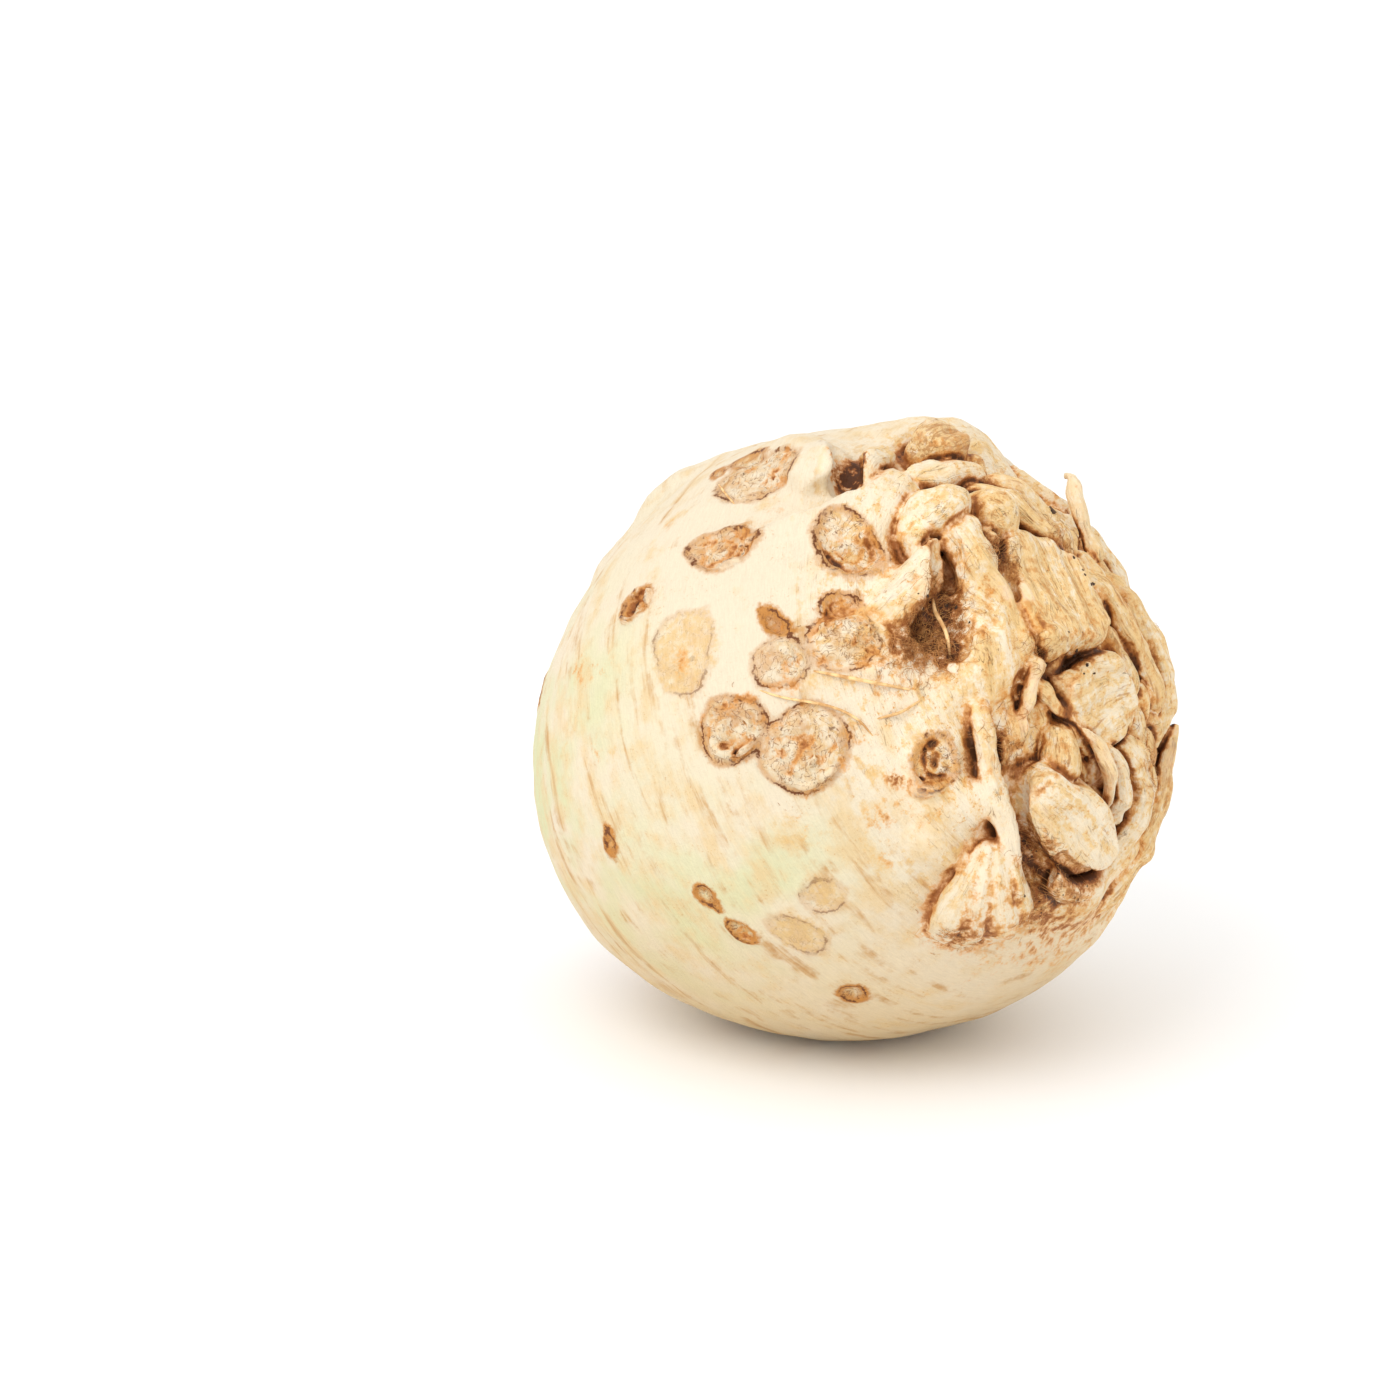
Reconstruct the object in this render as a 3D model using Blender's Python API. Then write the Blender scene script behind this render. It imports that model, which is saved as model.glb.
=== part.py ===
"""A whole celeriac, washed and trimmed: one solid swollen root that lies on its side.

The body is a lumpy ball. Its root end is a tangle of side roots and cut root stumps, and its leaf end,
opposite, is a trimmed crown ringed by leaf scars. The ball lies on a small flat spot at z = 0.

Places on the body are a turn and a rise in degrees, seen from its centre. Turn 0 is -Y, turn 90 is +X,
rise 90 is +Z. Lengths in the tables are in millimetres.
"""

import math

import bmesh
import bpy
from mathutils import Matrix, Vector

MM = 0.001

# Driving dimensions, in millimetres.
BODY_RADIUS = 60.0
CENTRE_HEIGHT = 59.2  # of the body's centre above the flat spot
ROOT_FINENESS = 1.15  # size of the cells that fuse the roots with the body
SMOOTHING_ROUNDS = 4
TRIANGLE_GOAL = 9000

ROOT_END = (52, 26)
LEAF_END = (-128, -26)

# Broad swellings and hollows of the body: turn, rise, height, spread in degrees.
SWELLINGS = [
    (*ROOT_END, -4.0, 42),
    (*LEAF_END, 2.5, 30),
    (-82, -30, 4.5, 36),
    (70, -42, 2.5, 24),
    (130, 62, 1.5, 20),
    (-100, 42, -2.5, 26),
    (98, 40, -2.5, 22),
    (95, -8, -1.5, 16),
    (-30, 70, 1.5, 16),
    (180, 74, -2.5, 14),
    (150, 10, 2.0, 30),
    (178, -34, 1.5, 24),
    (-10, -6, 1.0, 24),
    (28, 27, 2.0, 9),
    (-52, 14, 0.8, 15),
    (-38, -38, -0.8, 15),
    (-150, 34, 1.5, 22),
    (-170, 4, -1.2, 18),
    (125, -36, -1.0, 18),
    (18, -38, 0.8, 14),
]

# Short roots packed side by side that raise the skin between the side roots: the middle of the zone, its
# half angle, the angle over which it fades out, and how far it is raised.
PACKED_ROOTS = (70, 17, 43, 18, 2.4)

# Side roots that lie along the body: the radius at the first, the middle and the last point, then the
# route as turn, rise and height of the root's crest above the body.
SIDE_ROOTS = {
    "buttress": ((5, 8, 4.8), [(-42, 46, 0), (-24, 50, 2), (-5, 54, 4), (9, 59, 5), (16, 63, 4.5)]),
    "top_lobe": ((6, 7.5, 5), [(-60, 74, 0), (-32, 72, 3), (-18, 66, 4.5), (-14, 61, 4)]),
    "top_flap": ((2, 3, 3), [(1, 61, 3), (4, 66, 4.5), (14, 71, 3)]),
    "far_ridge": ((5, 7, 4.5), [(-10, 84, 0), (60, 80, 4), (88, 73, 6), (98, 65, 4), (104, 56, 0)]),
    "petal": ((2.5, 3.5, 3), [(16, 63, 3), (30, 65, 4.5), (46, 64, 4), (54, 62, 2)]),
    "thumb": ((3.4, 4.8, 4.2), [(25, 52, 6), (26, 47, 7), (28, 42, 7), (31, 37, 5.5), (32, 33, 3)]),
    "bulge": ((5, 7.5, 5), [(28, 37, 3), (26, 31, 4.5), (24, 25, 4), (22, 19, 0)]),
    "bulge_side": ((3, 4, 3), [(31, 38, 3), (33, 32, 4), (33, 26, 3.5), (30, 20, 1)]),
    "left_plait": ((1, 1.6, 1.2), [(35, 46, 3.5), (35, 40, 4.5), (36, 34, 4.5), (37, 28, 3)]),
    "cone_flap": ((7, 6, 2.4), [(2, 34, 0), (9, 39, 4), (14, 43, 6), (18, 47, 6)]),
    "valley_fold": ((1.2, 1.8, 1.2), [(33, 51, 3), (34, 45, 5), (34, 39, 4.5), (33, 33, 2.5)]),
    "shoulder_fold": ((2, 2.8, 2), [(44, 60, 3), (53, 55, 5), (59, 49, 5), (61, 42, 3.5)]),
    "edge_fold": ((2, 2.6, 2), [(54, 62, 3), (63, 57, 5), (69, 50, 4.5), (69, 44, 2.5)]),
    "finger": ((1.8, 2.4, 2.2), [(101, 49, 8.5), (97, 48.5, 9.5), (91, 46.5, 8.5), (86, 43, 7), (82, 38, 5)]),
    "long_strip": ((2.2, 3.2, 2.5), [(69, 42, 2), (71, 32, 4.5), (73, 22, 5), (75, 12, 4.5), (75, 3, 2)]),
    "outer_strip": ((2.5, 4.5, 3.5), [(84, 37, 1), (84, 28, 4.5), (83, 18, 6), (81, 8, 5), (79, 0, 2.5)]),
    "broken_strip": (
        (1.2, 3.6, 3),
        [(80.5, 3, 4.6), (77, -7, 4.6), (71, -16, 4), (64, -24, 2.5), (57, -31, 0)],
    ),
    "inner_strip": ((3, 4, 3), [(57, 6, 3.5), (61, -2, 5.5), (59, -10, 5), (53, -18, 2)]),
    "curved_rootlet": (
        (1.6, 1.9, 1.4),
        [(41, 13, 4.5), (44, 9, 6.5), (46, 4, 6.5), (46.5, 0, 6), (48, -4, 4)],
    ),
    "pale_fold": ((2.2, 3, 2.2), [(49, 8, 4), (51, 3, 6), (52, -2, 6), (54, -7, 3.5)]),
    "slant_ridge": ((1.5, 2.2, 1.8), [(29, 21, 1.5), (34, 19, 4), (38, 15, 5), (41, 13, 4.5)]),
    "under_fold": ((1.5, 2, 1.5), [(34, 27, 2), (34, 23, 4), (32, 19, 4), (29, 15, 2)]),
    "slope_fold": ((1.2, 1.8, 1.2), [(19, 24, 0.5), (23, 20, 1.5), (27, 17, 2), (29, 11, 1)]),
    "pale_rootlet": (
        (1.9, 2.3, 2),
        [(20.5, 20, 0.5), (21, 13, 2.8), (22, 6, 3.8), (24, -1, 4.2), (26.5, -8, 3.8), (29, -12, 2)],
    ),
    "thin_strip": ((1.5, 1.8, 1.4), [(25, 11, 0.5), (26, 3, 2), (27, -3, 2), (28, -7, 1)]),
    "clove_left": ((2.4, 4.4, 3), [(20.5, -8, 2.5), (18, -13, 5), (15.5, -18, 5), (15, -23, 1.5)]),
    "clove_inner": ((2, 3.8, 3), [(21.5, -7, 3), (20.5, -13, 6), (19.5, -19, 6), (19.5, -25, 2)]),
    "clove_middle": ((2, 4, 3), [(22.5, -7, 3), (23.5, -13, 6.5), (24.5, -19, 6.5), (24.5, -25, 2)]),
    "clove_right": ((2.2, 4, 3), [(24.5, -8, 2.5), (26.5, -13, 5.5), (28.5, -18, 5.5), (29, -23, 1.5)]),
    "lip": ((1.8, 2.6, 1.8), [(32, -8, 3.5), (36, -14, 5.5), (41, -17, 6), (47, -17, 5.5), (51, -12, 3.5)]),
    "far_strip": ((3, 4.5, 3), [(100, 56, 0), (104, 42, 3.5), (104, 27, 5), (100, 13, 4.5), (94, 1, 1)]),
    "back_strip": ((2.8, 4, 2.5), [(119, 34, 0), (121, 18, 3.5), (115, 5, 4.5), (106, -6, 3), (97, -16, 1)]),
    "low_strip": ((2.6, 3.8, 2.6), [(95, -12, 2), (88, -20, 2.2), (79, -28, 1.2), (67, -37, -1)]),
    "back_root": ((5, 6, 4), [(112, 64, 0), (128, 50, 3), (144, 32, 3), (155, 12, 0)]),
    "left_root": ((4, 6, 4), [(-130, 66, 0), (-118, 48, 2.5), (-108, 30, 0)]),
}

# Root stumps cut off flat: turn, rise, twist of the long axis from the turn direction towards the rise
# direction, then half the length, half the width and the height above the body.
CUT_STUMPS = {
    "big_plate": (46, 36, 80, 13, 11, 4.8),
    "second_plate": (50, 14, 5, 12, 8.5, 4.8),
    "top_stump": (48, 71, 10, 6, 5, 6.5),
    "big_oval": (39, -5, -47, 12.5, 7.8, 6),
    "far_plate": (114, 46, 30, 8.5, 6.5, 3.5),
    "low_plate": (100, -24, -30, 7, 5.5, 3.5),
    "back_plate": (136, 22, 60, 7.5, 5.5, 3),
}

# Rounded nodules: the same values as a cut stump's.
NODULES = {
    "comma_left": (21.5, 54.5, 28, 9, 6, 9),
    "comma_foot": (14.5, 50.5, 75, 6, 4, 6),
    "comma_right": (39.5, 53, -60, 7.4, 5, 8),
    "small_oval": (38, 7.5, 80, 6.8, 4.4, 5.5),
    "brown_nodule": (60, 66, 0, 4.5, 4, 4),
    "shoulder_bump": (56, 57, -20, 6, 4, 2.5),
    "edge_bump": (66, 49, -40, 6, 4, 2),
    "bead": (16.5, 47, 0, 2, 1.8, 6.5),
    "corner_bump": (29, 13, 30, 3.5, 2.6, 2),
    "white_nodule": (15, 2, -20, 8.5, 5.5, 2.2),
    "under_white": (12, -5, -30, 6, 4, 1.8),
    "scar_bump": (11, 11, 0, 6, 6, 1.5),
    "low_bump": (50, -24, -30, 9, 6, 2),
    "rough_bump": (37, -19, -30, 6, 4, 1.5),
    "disc_left": (-24, 14, 0, 7.5, 7.5, 1),
    "disc_right": (-11, 11, 0, 8.5, 8.5, 1),
    "disc_upper": (-16, 26, 0, 6.5, 6.5, 1.2),
    "disc_lobed": (-2, 30.5, 10, 8.5, 6.6, 2.6),
}

# Deep gaps between the roots: radius, then the route as turn, rise and height of the gap's axis.
GAPS = {
    "top_hole": (3.4, [(-6, 70, 3.5), (-5, 66, 1.5), (-5, 62, 1)]),
    "cone_gap": (2.4, [(20, 46, 6), (18, 41, 4), (16, 36, 1), (13, 32, 0)]),
    "side_gap": (1.8, [(18, 37, 2), (19, 32, 2), (19, 28, 1)]),
    "plate_gap": (1.8, [(32, 47, 5), (34, 42, 4), (34, 36, 3)]),
    "oval_gap": (2.6, [(27, 1, 1), (28, -4, 1), (30, -9, 1), (33, -13, 3)]),
    "valley": (2.8, [(26, 16, 2), (27, 9, 2), (27, 3, 1)]),
    "lip_gap": (1.2, [(35, -9, 5), (39, -12.5, 5.5), (44, -14, 5.5), (48, -13, 5)]),
    "comma_gap": (1.2, [(31, 61, 8), (31, 55, 9), (32, 50, 7)]),
    "top_valley": (2.2, [(-6, 61.5, 2.6), (-12, 58.5, 2.4), (-22, 55, 2), (-32, 51.5, 1.8)]),
}

# The trimmed leaf end: a cut heart, and rings of crescent-shaped leaf bases around it.
LEAF_HEART = (20, 9.0, 7.5, 4.5)  # twist, half the length, half the width and the height
# Each ring: radius, number of leaf bases, angle of the first, half the thickness, height of the crest.
LEAF_RINGS = [(14.5, 4, 20, 2.6, 4.0), (21.0, 5, 65, 2.4, 2.8), (27.5, 5, 10, 2.2, 1.6)]
LEAF_SHARE = 0.8  # how much of its share of the ring a leaf base fills


def direction(turn, rise):
    """The unit vector from the body's centre towards a place on it."""
    turn, rise = math.radians(turn), math.radians(rise)
    return Vector((math.sin(turn) * math.cos(rise), -math.cos(turn) * math.cos(rise), math.sin(rise)))


def body_radius(towards):
    """Distance in millimetres from the centre to the body's surface, before the roots."""
    radius = BODY_RADIUS
    for turn, rise, height, spread in SWELLINGS:
        angle = math.degrees(towards.angle(direction(turn, rise)))
        radius += height * math.exp(-((angle / spread) ** 2))
    return radius


def packed_height(towards):
    """How far the short packed roots raise the skin, in millimetres."""
    turn, rise, spread, fade, height = PACKED_ROOTS
    angle = math.degrees(towards.angle(direction(turn, rise)))
    return height * min(max((spread - angle) / fade, 0.0), 1.0)


def place(turn, rise, lift=0.0):
    """The point that stands the lift above the body at a turn and rise."""
    towards = direction(turn, rise)
    height = body_radius(towards) + lift
    return towards * height * MM


def frame_at(turn, rise, twist, lift=0.0):
    """A matrix whose z points out of the body and whose x runs along the twisted long axis."""
    outwards = direction(turn, rise)
    sideways = Vector((math.cos(math.radians(turn)), math.sin(math.radians(turn)), 0.0))
    upwards = outwards.cross(sideways)
    turned = Matrix.Rotation(math.radians(twist), 4, "Z")
    axes = Matrix((sideways, upwards, outwards)).transposed().to_4x4()
    return Matrix.Translation(place(turn, rise, lift)) @ axes @ turned


def mesh_object(name, grid):
    """An object that holds the mesh of a bmesh."""
    mesh = bpy.data.meshes.new(name)
    grid.to_mesh(mesh)
    grid.free()
    obj = bpy.data.objects.new(name, mesh)
    bpy.context.collection.objects.link(obj)
    return obj


def make_body():
    """The lumpy ball without its roots."""
    grid = bmesh.new()
    bmesh.ops.create_icosphere(grid, subdivisions=6, radius=1.0)
    for vertex in grid.verts:
        towards = vertex.co.normalized()
        vertex.co = towards * (body_radius(towards) + packed_height(towards)) * MM
    return mesh_object("body", grid)


def make_round_root(name, points, radii):
    """A tube through the points, with a ball on each end."""
    curve = bpy.data.curves.new(name, "CURVE")
    curve.dimensions = "3D"
    curve.bevel_depth = MM
    curve.bevel_resolution = 3
    curve.use_fill_caps = True
    curve.resolution_u = 8
    spline = curve.splines.new("BEZIER")
    spline.bezier_points.add(len(points) - 1)
    for knot, point, radius in zip(spline.bezier_points, points, radii):
        knot.co = point
        knot.radius = radius
        knot.handle_left_type = "AUTO"
        knot.handle_right_type = "AUTO"
    guide = bpy.data.objects.new(name, curve)
    bpy.context.collection.objects.link(guide)
    grid = bmesh.new()
    grid.from_mesh(guide.to_mesh())
    bpy.data.objects.remove(guide)
    for point, radius in ((points[0], radii[0]), (points[-1], radii[-1])):
        ball = Matrix.Translation(point)
        bmesh.ops.create_icosphere(grid, subdivisions=2, radius=radius * MM, matrix=ball)
    return mesh_object(name, grid)


def radii_along(first, middle, last, count):
    """One radius for each of count points, eased through three that are given."""
    radii = []
    for step in range(count):
        share = 2 * step / (count - 1)
        if share <= 1:
            radii.append(first + (middle - first) * share)
        else:
            radii.append(middle + (last - middle) * (share - 1))
    return radii


def make_side_root(name, radii, route):
    """A root that lies along the body, with its crest at the stated heights."""
    radii = radii_along(*radii, len(route))
    points = [place(turn, rise, height - radius) for (turn, rise, height), radius in zip(route, radii)]
    return make_round_root(name, points, radii)


def make_cut_stump(name, turn, rise, twist, length, width, height):
    """A short elliptical stump with a flat cut face and a spreading foot sunk into the body."""
    sunk = 3.0
    foot, face = 1.3, 0.82
    grid = bmesh.new()
    middle = frame_at(turn, rise, twist, (height - sunk) / 2)
    scale = Matrix.Diagonal((length * MM, width * MM, (height + sunk) * MM, 1.0))
    bmesh.ops.create_cone(
        grid,
        cap_ends=True,
        segments=32,
        radius1=foot,
        radius2=face,
        depth=1.0,
        matrix=middle @ scale,
    )
    return mesh_object(name, grid)


def make_nodule(name, turn, rise, twist, length, width, height):
    """A rounded bump, half sunk into the body."""
    sunk = 2.0
    grid = bmesh.new()
    middle = frame_at(turn, rise, twist, -sunk)
    scale = Matrix.Diagonal((length * MM, width * MM, (height + sunk) * MM, 1.0))
    bmesh.ops.create_icosphere(grid, subdivisions=3, radius=1.0, matrix=middle @ scale)
    return mesh_object(name, grid)


def make_leaf_base(name, around, ring, first, last, thickness, height):
    """One crescent of a leaf ring, between two angles about the crown."""
    points = []
    heights = (0.0, height, height, 0.0)
    for step, crest in enumerate(heights):
        angle = math.radians(first + (last - first) * step / (len(heights) - 1))
        flat = Vector((ring * math.cos(angle), ring * math.sin(angle), 0.0)) * MM
        towards = (around @ flat).normalized()
        points.append(towards * (body_radius(towards) + crest - thickness) * MM)
    return make_round_root(name, points, [thickness] * len(points))


def make_leaf_end():
    """Rings of leaf bases around the cut heart of the crown."""
    around = frame_at(*LEAF_END, 0.0)
    parts = [make_cut_stump("leaf_heart", *LEAF_END, *LEAF_HEART)]
    for ring, count, start, thickness, height in LEAF_RINGS:
        step = 360 / count
        for number in range(count):
            first = start + number * step
            last = first + step * LEAF_SHARE
            name = f"leaf_base_{ring:.0f}_{number}"
            parts.append(make_leaf_base(name, around, ring, first, last, thickness, height))
    return parts


def joined(name, parts):
    """The parts as one object."""
    grid = bmesh.new()
    for part in parts:
        grid.from_mesh(part.data)
        bpy.data.objects.remove(part)
    return mesh_object(name, grid)


def with_modifiers_applied(obj):
    """Replaces the object's mesh with what its modifiers make of it."""
    graph = bpy.context.evaluated_depsgraph_get()
    obj.data = bpy.data.meshes.new_from_object(obj.evaluated_get(graph))
    obj.modifiers.clear()


def fuse(obj):
    """Fuses overlapping shapes into one closed skin."""
    remesh = obj.modifiers.new("Fuse", "REMESH")
    remesh.mode = "VOXEL"
    remesh.voxel_size = ROOT_FINENESS * MM
    with_modifiers_applied(obj)


def make_gaps():
    """The solids that the deep gaps are cut with."""
    tubes = []
    for name, (radius, route) in GAPS.items():
        points = [place(*spot) for spot in route]
        tubes.append(make_round_root(name, points, [radius] * len(points)))
    gaps = joined("gaps", tubes)
    fuse(gaps)
    return gaps


def cut_gaps(obj, gaps):
    """Cuts the deep gaps between the roots."""
    cut = obj.modifiers.new("Gaps", "BOOLEAN")
    cut.operation = "DIFFERENCE"
    cut.solver = "EXACT"
    cut.object = gaps
    with_modifiers_applied(obj)
    bpy.data.objects.remove(gaps)
    fuse(obj)


def soften_and_thin(obj):
    """Rounds the joints between the roots, and thins the skin to the triangle goal."""
    smooth = obj.modifiers.new("Soften", "SMOOTH")
    smooth.factor = 0.5
    smooth.iterations = SMOOTHING_ROUNDS
    with_modifiers_applied(obj)
    thin = obj.modifiers.new("Thin", "DECIMATE")
    thin.use_collapse_triangulate = True
    thin.ratio = TRIANGLE_GOAL / sum(len(face.vertices) - 2 for face in obj.data.polygons)
    with_modifiers_applied(obj)


def cut_flat_spot(obj):
    """Moves the body up to its height and cuts it flat at z = 0."""
    obj.data.transform(Matrix.Translation((0.0, 0.0, CENTRE_HEIGHT * MM)))
    grid = bmesh.new()
    grid.from_mesh(obj.data)
    everything = grid.verts[:] + grid.edges[:] + grid.faces[:]
    cut = bmesh.ops.bisect_plane(
        grid,
        geom=everything,
        dist=1e-6,
        plane_co=(0.0, 0.0, 0.0),
        plane_no=(0.0, 0.0, -1.0),
        clear_outer=True,
    )
    rim = [item for item in cut["geom_cut"] if isinstance(item, bmesh.types.BMEdge)]
    bmesh.ops.edgeloop_fill(grid, edges=rim)
    bmesh.ops.triangulate(grid, faces=grid.faces[:])
    bmesh.ops.recalc_face_normals(grid, faces=grid.faces[:])
    grid.to_mesh(obj.data)
    grid.free()


def skin_material():
    """Cream skin, slightly moist."""
    material = bpy.data.materials.new("celeriac_skin")
    material.use_nodes = True
    shader = material.node_tree.nodes["Principled BSDF"]
    shader.inputs["Base Color"].default_value = (0.86, 0.74, 0.52, 1.0)
    shader.inputs["Roughness"].default_value = 0.5
    shader.inputs["Metallic"].default_value = 0.0
    return material


def make_celeriac():
    """The whole root as one object."""
    parts = [make_body()]
    parts += [make_side_root(name, *values) for name, values in SIDE_ROOTS.items()]
    parts += [make_cut_stump(name, *values) for name, values in CUT_STUMPS.items()]
    parts += [make_nodule(name, *values) for name, values in NODULES.items()]
    parts += make_leaf_end()
    celeriac = joined("celeriac_root", parts)
    fuse(celeriac)
    cut_gaps(celeriac, make_gaps())
    soften_and_thin(celeriac)
    cut_flat_spot(celeriac)
    celeriac.data.materials.clear()
    celeriac.data.materials.append(skin_material())
    celeriac.data.shade_smooth()
    celeriac.data.set_sharp_from_angle(angle=math.radians(50))
    return celeriac


for leftover in list(bpy.data.objects):
    bpy.data.objects.remove(leftover)
make_celeriac()
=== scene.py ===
"""The looks of a whole celeriac: its fine skin, rootlets, dried hairs and crumbs of soil.

The skin is modelled as a field of distances to the surface on a grid of small cells. Broad swellings,
side roots, cut stumps and nodules are fused into it one by one, then gaps are carved, scars are pressed
in, and the surface is taken out as one mesh. Places on the body are a turn and a rise in degrees from
its centre, and lengths are in millimetres until the meshes are made.
"""

import math

import bmesh
import bpy
import numpy as np
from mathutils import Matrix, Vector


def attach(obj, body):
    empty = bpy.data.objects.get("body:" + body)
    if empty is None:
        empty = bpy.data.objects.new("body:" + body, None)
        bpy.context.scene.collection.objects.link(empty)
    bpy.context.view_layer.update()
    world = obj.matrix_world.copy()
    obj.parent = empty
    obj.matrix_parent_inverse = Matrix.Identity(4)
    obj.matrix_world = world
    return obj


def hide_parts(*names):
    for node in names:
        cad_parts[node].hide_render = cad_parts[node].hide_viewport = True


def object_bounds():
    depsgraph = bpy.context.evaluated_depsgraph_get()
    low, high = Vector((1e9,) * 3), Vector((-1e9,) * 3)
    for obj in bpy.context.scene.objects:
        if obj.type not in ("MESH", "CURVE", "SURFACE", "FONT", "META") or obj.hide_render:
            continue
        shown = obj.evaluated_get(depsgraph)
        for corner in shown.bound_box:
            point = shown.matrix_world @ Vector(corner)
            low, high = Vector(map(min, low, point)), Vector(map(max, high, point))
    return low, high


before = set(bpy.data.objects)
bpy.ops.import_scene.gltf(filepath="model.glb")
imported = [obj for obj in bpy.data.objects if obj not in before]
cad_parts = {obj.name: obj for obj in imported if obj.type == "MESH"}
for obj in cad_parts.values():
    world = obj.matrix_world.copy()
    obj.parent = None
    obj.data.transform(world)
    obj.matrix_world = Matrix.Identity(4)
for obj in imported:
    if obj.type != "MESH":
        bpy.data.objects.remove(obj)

import openvdb
from mathutils import Matrix, Vector

CAD_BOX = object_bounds()

# Sizes that the CAD solid was made with, in millimetres.
CAD_HEIGHT = 121.9
CENTRE_HEIGHT = 59.2
BODY_RADIUS = 60.0
MM = (CAD_BOX[1][2] - CAD_BOX[0][2]) / CAD_HEIGHT  # one millimetre of the solid in the frame

LOW_CORNER = (-70, -68, -64)
HIGH_CORNER = (70, 68, 68)
CELL = 0.55  # size of the grid's cells
MOST_FACES = 195000
FINE_ROOT_END = 45  # degrees round the root end that keep their fine faces
FINE_LEAF_END = 40
COARSE_CELL = 2.5  # size of the cells that the round body is worked out on
MOST_DEPTH = 3.0  # distances beyond this one don't matter to the mesh
REACH = 5.0  # how far from a shape its distances are worked out
CREASE_WIDTH = 1.1
SHARP_SLOPE = 0.8  # how steeply two shapes meet where the crease between them is full
OUTSIDE = -9.0  # how far inside a scar or stain a place is that is far outside all of them

# Noises: the seed and the grain, and the height that they add. The first two bend every shape a little, so
# that nothing looks turned or cast.
BEND = (10, 9.0, 1.1)
WOBBLE = (20, 3.5, 0.45)
STUMP_OUTLINE = (41, 6.0, 0.15)
STUMP_FACE = (42, 5.0, 0.7)
SCAR_GRIT = (31, 1.9)
SCAR_OUTLINE = (34, 3.5)
SKIN_BUMPS = [(32, 9.0, 0.35), (33, 3.0, 0.12)]
ROOT_BUMPS = (35, 2.4, 0.2)
ROOT_FOLDS = (38, 2.6, 0.3)
FOLD_STRETCH = 3.5  # how much longer the folds are upwards
WRINKLES = (36, 5.0, 0.45)
WRINKLE_PLACES = (37, 7.0)
WRINKLE_WIDTH = 0.2
WRINKLED_ZONE = (30, 58)  # degrees from the root end: all wrinkled, and not at all

GRAIN_SQUEEZE = 0.12  # how much shorter the grain's pattern is measured along it than across
ID_STEP = 1.7  # how far apart the patterns of two shapes are taken from

ROOT_END = (52, 26)
LEAF_END = (-128, -26)
RIGHT_SIDE = (78, -4)  # the strips here are as brown as the root end

# Broad swellings and hollows of the body: turn, rise, height, spread in degrees.
SWELLINGS = [
    (*ROOT_END, -4.0, 42),
    (*LEAF_END, 2.5, 30),
    (-82, -30, 4.5, 36),
    (70, -42, 2.5, 24),
    (130, 62, 1.5, 20),
    (-100, 42, -2.5, 26),
    (98, 40, -2.5, 22),
    (95, -8, -1.5, 16),
    (-30, 70, 1.5, 16),
    (180, 74, -2.5, 14),
    (150, 10, 2.0, 30),
    (178, -34, 1.5, 24),
    (-10, -6, 1.0, 24),
    (28, 27, 2.0, 9),
    (-52, 14, 0.8, 15),
    (-38, -38, -0.8, 15),
    (-150, 34, 1.5, 22),
    (-170, 4, -1.2, 18),
    (125, -36, -1.0, 18),
    (18, -38, 0.8, 14),
]

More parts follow.
